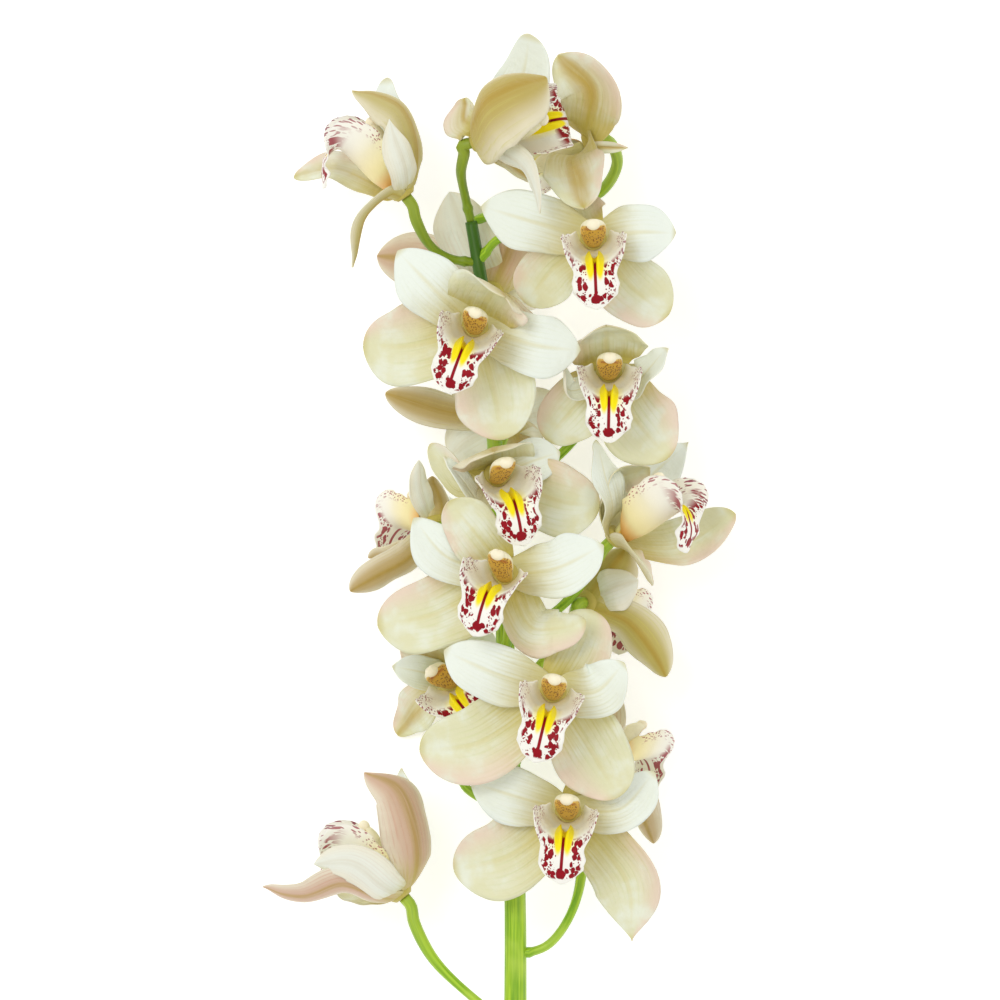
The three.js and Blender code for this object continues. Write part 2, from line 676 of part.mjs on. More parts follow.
    tepals: {
      dorsal: { path: [[482, 396, 86], [455, 368, 82]], wide: 50, cup: 0.4 },
      petal_l: { path: [[468, 440, 66], [448, 458, 46]], wide: 50, cup: 0.3 },
      petal_r: { path: [[540, 412, 66], [565, 402, 50]], wide: 50, cup: 0.3 },
      sepal_l: { path: [[445, 411, 90], [385, 393, 86]], wide: 40, cup: 0.7 },
      sepal_r: { path: [[525, 450, 60], [542, 480, 42]], wide: 50, cup: 0.4 },
    },
    pedicel: { from: 480, via: [[499, 455, 104], [504, 434, 98]] },
  },
];

// Everything below the table's surface, which flattens the tepals that rest on it.
const TABLE_SIZE = 1000;
const tableSolid = toSolid(
  new THREE.BoxGeometry(TABLE_SIZE, TABLE_SIZE, TABLE_SIZE).translate(0, 0, -TABLE_SIZE / 2),
);

function tepals(bloom) {
  const blades = Object.entries(bloom.tepals).map(([part, shape]) =>
    toSolid(tepal(bloom, shape, part.startsWith('petal'))),
  );
  const whole = blades.reduce((body, blade) => body.add(blade), toSolid(receptacle(bloom)));
  return toGeometry(bloom.rests ? whole.subtract(tableSolid) : whole);
}

// ---- Stem: the main axis, and a pedicel with its ovary for each bloom ----
const STEM_LINE = [
  // x, y in the layout grid, from the cut end to the tip
  [515, 1262],
  [515, 1080],
  [515, 900],
  [511, 780],
  [505, 640],
  [498, 500],
  [491, 390],
  [484, 300],
  [478, 262],
  [471, 221],
];
const STEM_SIDES = 8;
const STEM_STEPS = 9;
const PEDICEL_SIDES = 5;
const PEDICEL_STEPS = 5;
const PEDICEL_RUN_IN = 5; // straight end of a pedicel behind its receptacle, millimetres
const OVARY_START = 0.35; // where a pedicel begins to swell, as a share of its length
const OVARY_FULL = 0.8; // where it is fully swollen
const STEM_TAPER = 1.3; // above 1 the stem thins mostly towards its tip
const SEARCH_STEPS = 30; // halvings, enough for a place on the stem to far under a micrometre

const stemPlaces = STEM_LINE.map(([x, y]) => point([x, y, STEM_HEIGHT]));
const stemCurve = new THREE.CatmullRomCurve3(stemPlaces, false, 'centripetal');

function stemPointAt(y) {
  const height = point([0, y, 0]).y;
  let [low, high] = [0, 1];
  for (let i = 0; i < SEARCH_STEPS; i += 1) {
    const middle = (low + high) / 2;
    if (stemCurve.getPoint(middle).y < height) low = middle;
    else high = middle;
  }
  return stemCurve.getPoint(low);
}

function pedicel(bloom) {
  const heart = point(bloom.heart);
  const face = direction(bloom.face);
  const end = heart.clone().addScaledVector(face, -RECEPTACLE_DEPTH - SEAT_GAP);
  const before = heart.clone().addScaledVector(face, -RECEPTACLE_DEPTH - PEDICEL_RUN_IN);
  const root = stemPointAt(bloom.pedicel.from);
  const places = [root, ...bloom.pedicel.via.map(point), before, end];
  const swelling = (t) => THREE.MathUtils.smoothstep(t, OVARY_START, OVARY_FULL);
  const radiusAt = (t) => PEDICEL_RADIUS + (OVARY_RADIUS - PEDICEL_RADIUS) * swelling(t);
  return tube(places, radiusAt, PEDICEL_SIDES, PEDICEL_STEPS);
}

function stem() {
  const taper = STEM_RADIUS_CUT - STEM_RADIUS_TIP;
  const radiusAt = (t) => STEM_RADIUS_CUT - taper * t ** STEM_TAPER;
  const axis = toSolid(tube(stemPlaces, radiusAt, STEM_SIDES, STEM_STEPS));
  return toGeometry(BLOOMS.reduce((whole, bloom) => whole.add(toSolid(pedicel(bloom))), axis));
}

const spray = new THREE.Group();
const add = (name, geometry, look) => {
  const mesh = new THREE.Mesh(geometry, material(look.color, look.roughness));
  mesh.name = name;
  spray.add(mesh);
};
add('stem', stem(), STEM_MATERIAL);
for (const bloom of BLOOMS) {
  add(`${bloom.name}_tepals`, tepals(bloom), TEPAL_MATERIAL);
  add(`${bloom.name}_lip`, lip(bloom), LIP_MATERIAL);
  add(`${bloom.name}_column`, column(bloom), COLUMN_MATERIAL);
}

export default spray;
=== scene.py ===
import functools
import json
import math
import random

import bpy
import numpy as np
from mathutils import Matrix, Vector

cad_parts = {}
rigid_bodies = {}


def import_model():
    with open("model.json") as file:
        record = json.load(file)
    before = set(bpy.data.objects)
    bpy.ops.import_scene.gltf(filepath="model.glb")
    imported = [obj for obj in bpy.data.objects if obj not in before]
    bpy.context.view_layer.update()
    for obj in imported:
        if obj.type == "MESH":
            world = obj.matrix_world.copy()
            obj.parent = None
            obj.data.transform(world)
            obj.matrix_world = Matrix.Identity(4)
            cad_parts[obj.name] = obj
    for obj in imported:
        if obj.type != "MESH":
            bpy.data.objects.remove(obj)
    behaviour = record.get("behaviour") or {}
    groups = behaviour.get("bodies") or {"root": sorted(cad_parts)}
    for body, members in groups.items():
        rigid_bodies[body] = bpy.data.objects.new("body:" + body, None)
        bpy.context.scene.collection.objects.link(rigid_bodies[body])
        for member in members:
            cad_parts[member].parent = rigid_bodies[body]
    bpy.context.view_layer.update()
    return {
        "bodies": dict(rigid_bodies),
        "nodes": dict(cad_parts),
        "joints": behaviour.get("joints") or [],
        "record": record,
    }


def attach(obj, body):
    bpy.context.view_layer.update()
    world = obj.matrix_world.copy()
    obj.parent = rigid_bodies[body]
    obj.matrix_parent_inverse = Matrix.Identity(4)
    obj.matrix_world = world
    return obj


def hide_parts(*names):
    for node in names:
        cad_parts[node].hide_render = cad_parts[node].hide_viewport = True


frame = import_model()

# ---- Driving dimensions, millimetres ----
MM = 0.001  # metres
UNIT = 0.44  # one step of the layout grid in which the blooms are placed
GRID_MIDDLE = (500.2, 647.3)  # x to the right, y down the stem from its tip
TEPAL_THICKNESS = 0.9
MARGIN_THICKNESS = 0.4  # of tepals and lips at their edges
LIP_THICKNESS = 0.9
RECEPTACLE_RADIUS = 5.9
RECEPTACLE_DEPTH = 4.6
SEAT_GAP = 0.32
PETAL_DEPTH = 1.0
SEPAL_DEPTH = 2.5
CLAW_LENGTH = 5.5
FOOT_START = 1.2  # of a tepal's foot from the bloom's axis
NECK_LENGTH = 5  # of the pedicel's straight end behind the receptacle
STEM_RADIUS_CUT = 5.4
STEM_RADIUS_TIP = 2.7
PEDICEL_RADIUS = 1.9
OVARY_RADIUS = 2.6
STEM_HEIGHT = 118  # of the stem's axis above the floor, layout units

# ---- Fineness ----
TEPAL_GRID = (38, 21)  # rows along a blade and columns across it
LIP_GRID = (64, 61)
COLUMN_RINGS, COLUMN_SIDES = 28, 24
STEM_RINGS, STEM_SIDES = 220, 28
PEDICEL_RINGS, PEDICEL_SIDES = 44, 16
SEED = 7


# ---- Blooms, in the layout grid ----
BLOOMS = []


# pedicel: its height on the stem and the places that it passes; size: of the lip and the column;
# recurve: degrees by which the midlobe is bent back further; spread: the lip's side lobes are open;
# rests: a tepal lies flat on the floor.
def bloom(heart, face, up, pedicel, size=1, recurve=0, spread=False, rests=False, **tepals):
    places = dict(heart=heart, face=face, up=up, pedicel=pedicel, tepals=tepals)
    BLOOMS.append(dict(places, size=size, recurve=recurve, spread=spread, rests=rests))


# wide: layout units; cup: radians; path: the places that the blade's middle passes;
# roll: degrees by which it is turned about its length; lean: one half is wider than the other;
# taper: how pointed the end is, from 0.5, which is round, to 1 and more, which is pointed.
def tepal(wide, cup, *path, roll=0, lean=0, taper=None):
    return dict(wide=wide, cup=cup, path=path, roll=roll, lean=lean, taper=taper)


bloom(  # 1
    (400, 188, 150), (-0.57, -0.82, 0.1), (0.82, -0.57, 0), recurve=35,
    dorsal=tepal(
        74, 0.9, (416, 166, 150), (414, 136, 152), (399, 106, 152), (353, 88, 148),
        roll=-33, taper=0.8
    ),
    petal_near=tepal(36, 0.4, (404, 168, 198), (396, 144, 206), (389, 121, 198), taper=1.2),
    petal_far=tepal(42, 0.4, (402, 146, 108), (388, 108, 100), (385, 76, 98), taper=0.5),
    sepal_near=tepal(
        30, 0.8, (392, 194, 172), (376, 205, 182), (364, 220, 182), (354, 268, 166), taper=1
    ),
    sepal_far=tepal(44, 0.5, (370, 182, 118), (334, 168, 100), (293, 176, 94)),
    pedicel=(262, (450, 258, 120), (430, 245, 132), (416, 220, 146)),
)
bloom(  # 2
    (482, 140, 172), (0.92, -0.28, 0.28), (-0.3, 0, 0.95),
    dorsal=tepal(
        92, 0.9, (474, 126, 208), (486, 104, 236), (512, 90, 244), (546, 79, 228), lean=0.25
    ),
    petal_up=tepal(
        56, 0.3, (498, 112, 138), (522, 76, 140), (530, 34, 156), roll=-55, lean=-0.2, taper=0.45
    ),
    petal_down=tepal(36, 0.5, (498, 152, 206), (523, 168, 226), (534, 190, 234), (540, 215, 230)),
    sepal_up=tepal(44, 0.6, (469, 126, 170), (464, 120, 158), (467, 99, 150), roll=-85),
    sepal_down=tepal(42, 0.8, (500, 158, 148), (531, 180, 140)),
    pedicel=(221, (466, 200, 122), (461, 172, 145), (464, 152, 162)),
)
bloom(  # 3
    (586, 146, 98), (-0.92, 0.36, -0.15), (0.12, 0, 0.98), size=0.8,
    dorsal=tepal(15, 0.8, (598, 146, 122), (628, 147, 128), taper=1),
    sepal_up=tepal(70, 0.6, (588, 116, 120), (590, 88, 138), (558, 56, 152), roll=72),
    sepal_down=tepal(66, 0.6, (575, 157, 134), (578, 182, 186), (584, 210, 216), roll=-102),
    petal_up=tepal(36, 0.4, (592, 112, 74), (588, 88, 60)),
    petal_down=tepal(26, 0.4, (590, 184, 74), (588, 204, 62)),
    pedicel=(221, (500, 212, 100), (550, 204, 60), (598, 192, 46), (618, 160, 76)),
)
bloom(  # 4
    (593, 240, 190), (0, 0, 1), (-0.04, -1, 0), spread=True,
    dorsal=tepal(54, 0.5, (583, 220, 164), (578, 200, 134)),
    petal_l=tepal(62, 0.2, (530, 222, 192), (482, 207, 183)),
    petal_r=tepal(58, 0.2, (638, 233, 200), (675, 234, 190)),
    sepal_l=tepal(66, 0.7, (552, 270, 176), (526, 304, 168)),
    sepal_r=tepal(70, 0.4, (632, 288, 184), (668, 316, 178)),
    pedicel=(262, (500, 238, 130), (540, 240, 150), (575, 246, 170)),
)
bloom(  # 5
    (475, 327, 205), (-0.06, 0, 1), (0.335, -0.94, 0), spread=True,
    dorsal=tepal(92, 0.5, (486, 303, 222), (496, 291, 254), (506, 298, 278)),
    petal_l=tepal(62, 0.2, (436, 292, 216), (398, 252, 206)),
    petal_r=tepal(64, 0.2, (536, 346, 216), (581, 351, 200)),
    sepal_l=tepal(84, 0.4, (412, 346, 194), (364, 346, 186)),
    sepal_r=tepal(84, 0.4, (494, 392, 198), (502, 440, 194)),
    pedicel=(400, (486, 370, 150), (480, 344, 178)),
)
bloom(  # 6
    (609, 372, 152), (0, 0, 1), (0.02, -1, 0), spread=True,
    dorsal=tepal(84, 0.6, (606, 348, 160), (606, 334, 176), (606, 328, 196)),
    petal_l=tepal(28, 1.0, (584, 388, 168), (568, 390, 180), (564, 366, 188)),
    petal_r=tepal(44, 0.4, (636, 382, 168), (650, 368, 180), (667, 348, 184)),
    sepal_l=tepal(64, 0.4, (574, 408, 144), (546, 440, 138)),
    sepal_r=tepal(78, 0.3, (638, 422, 156), (668, 458, 156)),
    pedicel=(478, (548, 464, 120), (585, 425, 125), (604, 392, 132)),
)
bloom(  # 7
    (497, 476, 152), (0.17, 0, 0.98), (-0.2, -0.98, 0), spread=True,
    dorsal=tepal(86, 0.4, (494, 458, 160), (493, 449, 178), (494, 450, 200)),
    petal_l=tepal(36, 0.6, (478, 500, 168), (462, 480, 176), (442, 459, 174)),
    petal_r=tepal(46, 0.4, (530, 462, 156), (560, 452, 150)),
    sepal_l=tepal(32, 0.8, (462, 484, 142), (448, 466, 140), (430, 444, 134)),
    sepal_r=tepal(76, 0.4, (556, 500, 152), (600, 506, 146)),
    pedicel=(560, (508, 530, 132), (502, 500, 140)),
)
bloom(  # 8
    (619, 534, 126), (0.68, -0.66, 0.33), (-0.55, -0.75, -0.3), recurve=35,
    dorsal=tepal(60, 0.8, (604, 508, 118), (614, 482, 116), (649, 466, 108)),
    petal_near=tepal(48, 0.3, (612, 506, 146), (604, 474, 146), (596, 440, 132), roll=-45),
    petal_far=tepal(54, 0.5, (650, 478, 84), (690, 442, 70), taper=1.1),
    sepal_near=tepal(44, 0.8, (626, 548, 150), (638, 562, 162), (651, 586, 158)),
    sepal_far=tepal(66, 0.4, (676, 548, 92), (736, 513, 84)),
    pedicel=(640, (560, 608, 118), (588, 574, 118), (600, 555, 120)),
)
bloom(  # 9
    (434, 524, 106), (-0.45, -0.3, -0.84), (0.4, -0.9, 0.15), size=0.85,
    dorsal=tepal(44, 0.8, (440, 500, 104), (430, 478, 98)),
    petal_near=tepal(24, 0.4, (424, 502, 128), (419, 482, 134), (420, 460, 132)),
    petal_far=tepal(44, 0.4, (452, 520, 60), (446, 500, 30)),
    sepal_near=tepal(40, 0.7, (408, 558, 122), (380, 574, 124), (350, 591, 118)),
    sepal_far=tepal(42, 0.5, (412, 552, 84), (368, 556, 66)),
    pedicel=(610, (480, 588, 112), (454, 552, 116)),
)
bloom(  # 10
    (505, 574, 196), (-0.16, -0.1, 0.98), (0.25, -0.95, 0), spread=True,
    dorsal=tepal(58, 0.5, (478, 536, 206), (449, 501, 210)),
    petal_l=tepal(52, 0.3, (446, 556, 208), (414, 518, 200)),
    petal_r=tepal(60, 0.2, (556, 568, 206), (603, 545, 204)),
    sepal_l=tepal(78, 0.4, (434, 614, 186), (378, 624, 178)),
    sepal_r=tepal(56, -0.7, (530, 626, 200), (556, 628, 217), (585, 622, 213)),
    pedicel=(655, (508, 622, 142), (508, 592, 168)),
)
bloom(  # 11
    (590, 602, 96), (0.55, -0.1, -0.83), (0.1, -0.99, 0.05), size=0.85,
    dorsal=tepal(62, 0.7, (606, 576, 104), (626, 550, 94)),
    petal_near=tepal(46, 0.5, (612, 590, 116), (639, 580, 110)),
    petal_far=tepal(50, 0.4, (575, 590, 60), (580, 575, 30)),
    sepal_near=tepal(50, 0.8, (628, 622, 106), (652, 650, 104), (667, 676, 96)),
    sepal_far=tepal(50, 0.4, (588, 640, 60), (600, 660, 32)),
    pedicel=(700, (540, 665, 112), (572, 628, 108)),
)
bloom(  # 12
    (451, 681, 76), (-0.15, 0, 0.98), (-0.67, -0.74, 0), rests=True, spread=True,
    dorsal=tepal(56, 0.5, (432, 658, 84), (402, 642, 84)),
    petal_l=tepal(38, 0.7, (418, 672, 92), (392, 667, 98)),
    petal_r=tepal(50, 0.3, (470, 655, 70), (490, 630, 60)),
    sepal_l=tepal(46, 0.3, (424, 702, 46), (408, 722, 6), (398, 738, 0.9)),
    sepal_r=tepal(56, 0.5, (485, 700, 64), (505, 722, 50)),
    pedicel=(830, (494, 808, 116), (464, 786, 104), (462, 745, 66), (456, 705, 46)),
)
bloom(  # 13
    (553, 691, 208), (-0.03, 0, 1), (0.23, -0.97, 0), spread=True,
    dorsal=tepal(66, 0.5, (578, 650, 188), (594, 611, 172)),
    petal_l=tepal(60, 0.2, (498, 674, 216), (444, 650, 208)),
    petal_r=tepal(58, 0.4, (596, 690, 218), (624, 662, 226)),
    sepal_l=tepal(80, 0.4, (478, 742, 198), (420, 750, 190)),
    sepal_r=tepal(80, 0.4, (592, 752, 200), (618, 796, 192)),
    pedicel=(770, (530, 740, 150), (550, 712, 178)),
)
bloom(  # 14
    (607, 755, 92), (0.62, -0.3, -0.72), (-0.1, -0.95, 0.3), size=0.85, rests=True,
    dorsal=tepal(50, 0.7, (606, 722, 84), (600, 686, 76)),
    petal_near=tepal(40, 0.4, (604, 740, 130), (614, 735, 158)),
    petal_far=tepal(46, 0.3, (586, 745, 66), (582, 735, 36)),
    sepal_near=tepal(46, 0.8, (634, 800, 104), (655, 844, 100)),
    sepal_far=tepal(48, 0.3, (614, 788, 50), (626, 808, 6), (638, 822, 0.9)),
    pedicel=(862, (560, 830, 118), (590, 788, 110)),
)
bloom(  # 15
    (568, 811, 168), (-0.04, 0, 1), (0.08, -1, 0), spread=True,
    dorsal=tepal(58, 0.4, (596, 784, 160), (606, 756, 152)),
    petal_l=tepal(58, 0.2, (516, 796, 176), (471, 782, 170)),
    petal_r=tepal(52, 0.4, (620, 808, 176), (654, 772, 168)),
    sepal_l=tepal(82, 0.4, (508, 856, 162), (454, 870, 156)),
    sepal_r=tepal(72, 0.7, (606, 852, 160), (628, 884, 160), (632, 941, 152), taper=1.3),
    pedicel=(957, (548, 946, 118), (573, 910, 124), (582, 860, 136), (574, 830, 150)),
)
bloom(  # 16
    (397, 890, 110), (-0.62, -0.78, 0.05), (0.78, -0.62, 0), recurve=40,
    dorsal=tepal(
        72, 0.9, (417, 860, 120), (411, 820, 128), (396, 788, 126), (364, 773, 118),
        roll=-38, taper=0.8
    ),
    petal_near=tepal(44, 0.5, (383, 885, 158), (352, 862, 168), (314, 864, 158)),
    petal_far=tepal(50, 0.4, (404, 830, 78), (403, 770, 70)),
    sepal_near=tepal(
        42, 0.6, (374, 895, 142), (342, 884, 150), (304, 896, 150), (262, 889, 140), taper=0.9
    ),
    sepal_far=tepal(46, 0.5, (368, 898, 74), (335, 890, 56)),
    pedicel=(1030, (473, 999, 116), (433, 960, 112), (414, 924, 110)),
)
bloom(  # 17
    (492, 292, 84), (0.05, 0, -1), (0.2, -0.98, 0), size=0.8, rests=True,
    dorsal=tepal(62, 0.4, (508, 250, 80), (516, 215, 68)),
    petal_l=tepal(62, 0.3, (470, 245, 86), (449, 190, 76)),
    petal_r=tepal(50, 0.3, (532, 284, 48), (548, 276, 6), (564, 268, 0.9)),
    sepal_l=tepal(60, 0.4, (430, 262, 74), (376, 254, 58)),
    sepal_r=tepal(50, 0.4, (515, 330, 62), (530, 352, 50)),
    pedicel=(350, (492, 326, 104), (493, 306, 97)),
)
bloom(  # 18
    (506, 420, 84), (-0.1, 0, -1), (0.1, -1, 0), size=0.8,
    dorsal=tepal(50, 0.4, (482, 396, 86), (455, 368, 82)),
    petal_l=tepal(50, 0.3, (468, 440, 66), (448, 458, 46)),
    petal_r=tepal(50, 0.3, (540, 412, 66), (565, 402, 50)),
    sepal_l=tepal(40, 0.7, (445, 411, 90), (385, 393, 86)),
    sepal_r=tepal(50, 0.4, (525, 450, 60), (542, 480, 42)),
    pedicel=(480, (499, 455, 104), (504, 434, 98)),
)


# ---- Vectors and curves ----
NEARLY_FLAT = 0.02  # radians


def unit(v):
    return v / np.linalg.norm(v, axis=-1, keepdims=True)


def point(place):
    x, y, z = place
    return np.array([(x - GRID_MIDDLE[0]) * UNIT, (GRID_MIDDLE[1] - y) * UNIT, z * UNIT])


def direction(v):
    x, y, z = v
    return unit(np.array([x, -y, z], float))


def stacked(*parts):
    """Arrays and single values side by side along a new last axis."""
    return np.stack(np.broadcast_arrays(*parts), axis=-1)


def around(count):
    return np.linspace(0, math.tau, count, endpoint=False)


def ramp(value, low, high):
    """Smooth step from 0 at low to 1 at high."""
    w = np.clip((value - low) / (high - low), 0, 1)
    return w * w * (3 - 2 * w)


def spline(t, knots, values):
    """Values at t on a smooth curve through the values at the knots."""
    knots, values = np.array(knots, float), np.array(values, float)
    slopes = np.gradient(values, knots)
    k = np.clip(np.searchsorted(knots, t, side="right") - 1, 0, len(knots) - 2)
    gap = knots[k + 1] - knots[k]
    w = (t - knots[k]) / gap
    start = (1 + 2 * w) * (1 - w) ** 2 * values[k] + w * (1 - w) ** 2 * gap * slopes[k]
    return start + w**2 * (3 - 2 * w) * values[k + 1] + w**2 * (w - 1) * gap * slopes[k + 1]


class Path:
    """A smooth curve through places, read by the share of its length."""

    SAMPLES = 60  # between two places

    def __init__(self, places):
        p = np.array(places, float)
        p = np.vstack([2 * p[0] - p[1], p, 2 * p[-1] - p[-2]])
        gaps = np.maximum(np.linalg.norm(np.diff(p, axis=0), axis=1) ** 0.5, 1e-4)
        w = np.linspace(0, 1, self.SAMPLES, endpoint=False)[:, None]
        spans = []
        for k in range(len(p) - 3):
            a, b, c, d = p[k : k + 4]
            before, here, after = gaps[k : k + 3]
            leave = ((b - a) / before - (c - a) / (before + here)) * here + (c - b)
            arrive = (c - b) + ((d - c) / after - (d - b) / (here + after)) * here
            bend = 3 * (c - b) - 2 * leave - arrive
            spans.append(b + leave * w + bend * w**2 + (2 * (b - c) + leave + arrive) * w**3)
        self.points = np.vstack(spans + [p[-2:-1]])
        reach = np.cumsum(np.linalg.norm(np.diff(self.points, axis=0), axis=1))
        self.length = reach[-1]
        self.reach = np.concatenate([[0], reach]) / self.length

    def at(self, t):
        return stacked(*(np.interp(t, self.reach, self.points[:, k]) for k in range(3)))

    def tangent(self, t, step=0.01):
        low, high = np.maximum(t - step, 0), np.minimum(t + step, 1)
        return unit(self.at(high) - self.at(low))

    def frames(self, steps, normal):
        """Places, tangents, normals and sides at the steps, carried along without twist."""
        tangents = self.tangent(steps)
        normals = []
        for tangent in tangents:
            normal = unit(normal - tangent * (normal @ tangent))
            normals.append(normal)
        normals = np.array(normals)
        return self.at(steps), tangents, normals, np.cross(normals, tangents)


def swept(at, sides, normals, lateral, rise):
    """Points beside and above the places at, row by row."""
    return at[:, None] + sides[:, None] * lateral[..., None] + normals[:, None] * rise[..., None]


def turned(v, axis, angle):
    """Vectors v turned by angle about unit vectors axis, row by row."""
    angle = np.asarray(angle)[..., None]
    along = axis * np.sum(v * axis, axis=-1, keepdims=True)
    return along + (v - along) * np.cos(angle) + np.cross(axis, v) * np.sin(angle)


def arc(half, angle, s):
    """Offset sideways and up across a blade that is bent into an arc."""
    angle = np.where(np.abs(angle) < NEARLY_FLAT, NEARLY_FLAT, angle)
    radius = half / angle
    return radius * np.sin(s * angle), radius * (1 - np.cos(s * angle))


# ---- Meshes ----
def add_object(name, data):
    thing = bpy.data.objects.new(name, data)
    bpy.context.scene.collection.objects.link(thing)
    return thing


class Skin:
    """One piece's points, the patches of faces between them, and what its material reads.

    blade is (across -1..1, along 0..1, inner face 1 or outer face 0), or round a stalk (cosine of
    the turn, along, sine of the turn). flesh is a place on the surface in millimetres, with a
    number of the piece's own. nature is (petal, pink, golden) for tepals, (0, 0, cap) for columns
    and (pedicel, number, 0) for the stem.
    """

    THIN_SHARE = 0.06  # of the map's height, for all edges together
    PAD = 0.04  # round each patch in the map, as a share of its place

    def __init__(self):
        self.count = 0
        self.points, self.blade, self.flesh, self.nature = [], [], [], []
        self.patches, self.edges, self.discs = [], [], []

    def add(self, points, blade, flesh, nature):
        shape = points.shape[:-1]
        size = int(np.prod(shape))
        stores = (self.points, self.blade, self.flesh, self.nature)
        for store, values in zip(stores, (points, blade, flesh, nature)):
            store.append(np.broadcast_to(values, shape + (3,)).reshape(-1, 3))
        indices = np.arange(self.count, self.count + size).reshape(shape)
        self.count += size
        return indices

    def layout(self):
        """Each patch with its rectangle in the map."""
        cells = self.patches + self.discs
        across = math.ceil(math.sqrt(len(cells)))
        down = math.ceil(len(cells) / across)
        tall = (1 - self.THIN_SHARE) / down
        for k, cell in enumerate(cells):
            row, column = divmod(k, across)
            yield cell, (column / across, self.THIN_SHARE + row * tall, 1 / across, tall)
        for k, edge in enumerate(self.edges):
            high = self.THIN_SHARE / len(self.edges)
            yield edge, (0, k * high, 1, high)

    def build(self, name, material):
        faces, corners, places = [], [], []
        for cell, (x, y, wide, tall) in self.layout():
            x, y = x + wide * self.PAD, y + tall * self.PAD
            wide, tall = wide * (1 - 2 * self.PAD), tall * (1 - 2 * self.PAD)
            if cell.ndim == 1:
                turn = around(len(cell))
                disc = stacked(np.cos(turn), np.sin(turn)) * 0.5 + 0.5
                faces.append(len(cell))
                corners.append(cell)
                places.append(disc * (wide, tall) + (x, y))
                continue
            rows, columns = cell.shape
            ring = ((0, 0), (1, 0), (1, 1), (0, 1))
            four = lambda g: [g[i : rows - 1 + i, j : columns - 1 + j] for i, j in ring]
            u, v = np.meshgrid(np.linspace(0, 1, rows), np.linspace(0, 1, columns), indexing="ij")
            grid = stacked(x + u * wide, y + v * tall)
            faces.extend([4] * ((rows - 1) * (columns - 1)))
            corners.append(stacked(*four(cell)).reshape(-1))
            places.append(np.stack(four(grid), axis=-2).reshape(-1, 2))
        mesh = bpy.data.meshes.new(name)
        mesh.vertices.add(self.count)
        mesh.vertices.foreach_set("co", (np.vstack(self.points) * MM).reshape(-1))
        corners = np.concatenate(corners)
        mesh.loops.add(len(corners))
        mesh.loops.foreach_set("vertex_index", corners)
        starts = np.concatenate([[0], np.cumsum(faces)[:-1]])
        mesh.polygons.add(len(faces))
        mesh.polygons.foreach_set("loop_start", starts)
        mesh.polygons.foreach_set("loop_total", faces)
        mesh.update(calc_edges=True)
        for label in ("blade", "flesh", "nature"):
            values = np.vstack(getattr(self, label)).reshape(-1)
            mesh.attributes.new(label, "FLOAT_VECTOR", "POINT").data.foreach_set("vector", values)
        mesh.uv_layers.new(name="OFBake").data.foreach_set("uv", np.vstack(places).reshape(-1))
        mesh.validate()
        mesh.shade_smooth()
        mesh.materials.append(material)
        return add_object(name, mesh)


def add_sheet(skin, grid, middle, s, t, flesh, nature, raised=0.0, floor=False):
    """A closed thin sheet round a grid of points, with its thickness along the middle.

    raised lifts its inner face only.
    """
    along, across = np.gradient(grid, axis=0), np.gradient(grid, axis=1)
    normal = unit(np.cross(along, across))
    thickness = MARGIN_THICKNESS + (middle - MARGIN_THICKNESS) * (1 - s**4)
    half = normal * (thickness / 2)[..., None]
    upper = grid + half + normal * np.asarray(raised)[..., None]
    lower = grid - half
    if floor:
        upper[..., 2] = np.maximum(upper[..., 2], MARGIN_THICKNESS)
        lower[..., 2] = np.maximum(lower[..., 2], 0)
    inner = skin.add(upper, stacked(s, t, 1), flesh, nature)
    outer = skin.add(lower, stacked(s, t, 0), flesh, nature)
    skin.patches += [inner, outer[:, ::-1]]
    round_it = lambda g: np.concatenate([g[:, 0], g[-1, 1:], g[-2::-1, -1], g[0, -2::-1]])
    skin.edges.append(stacked(round_it(outer), round_it(inner)))


def add_tube(skin, rings, blade, flesh, nature):
    """A closed body through rings of points, with flat ends."""
    indices = skin.add(rings, blade, flesh, nature)
    skin.patches.append(np.concatenate([indices, indices[:, :1]], axis=1))
    skin.discs += [indices[0], indices[-1][::-1]]


# ---- Tepals ----
PEAK = 0.58  # where a tepal is widest, as a share of its length
PETAL_TAPER = 0.8
SEPAL_TAPER = 0.55
FOOT_WIDTH = 0.4  # share of a tepal's width at its foot
POINT_WIDTH = 0.02  # and at its very tip
SHOULDER = 0.8  # how quickly a tepal widens from its foot
FOOT_CUP = 0.4  # share of a tepal's cup at its foot
CUP_GROWTH = 1.5  # how quickly it grows to the whole
ROLL_GROWTH = 4  # how quickly a rolled tepal reaches its whole roll
TIP_CROWDING = 1.6  # how much closer the rows lie towards the tip
# along a margin; depth and height are shares of the half width, and pairs are least and most
BAY_TURNS, BAY_DEPTH = (1.0, 2.2), 0.05
WAVE_TURNS, PETAL_WAVE, SEPAL_WAVE = (1.2, 2.6), 0.12, 0.085
CURL = (-0.02, 0.1)
CREASE_DEPTH, CREASE_WIDTH = 0.35, 0.09  # of the midrib: millimetres and share of the half width
TIP_BEND = (-1.2, 1.6)  # millimetres, least and most
TEPAL_STEP = 17.3  # between the markings of one bloom and the next
# by bloom number: how golden the sepals' midribs are, on the inner face partly painted shade in the
# hollow along the middle, and how pink their backs
MIDDLING = 0.3
GOLDEN_RIBS = {1: 0.7, 2: 0.9, 3: 1.0, 9: 0.9, 11: 0.8, 12: 0.9, 17: 0.6, 18: 1.0}
ROSY_BACKS = {1: 0.1, 2: 0.05, 3: 0.1, 8: 0.35, 9: 0.4, 11: 0.0, 14: 0.7, 16: 1.0, 17: 0.9}


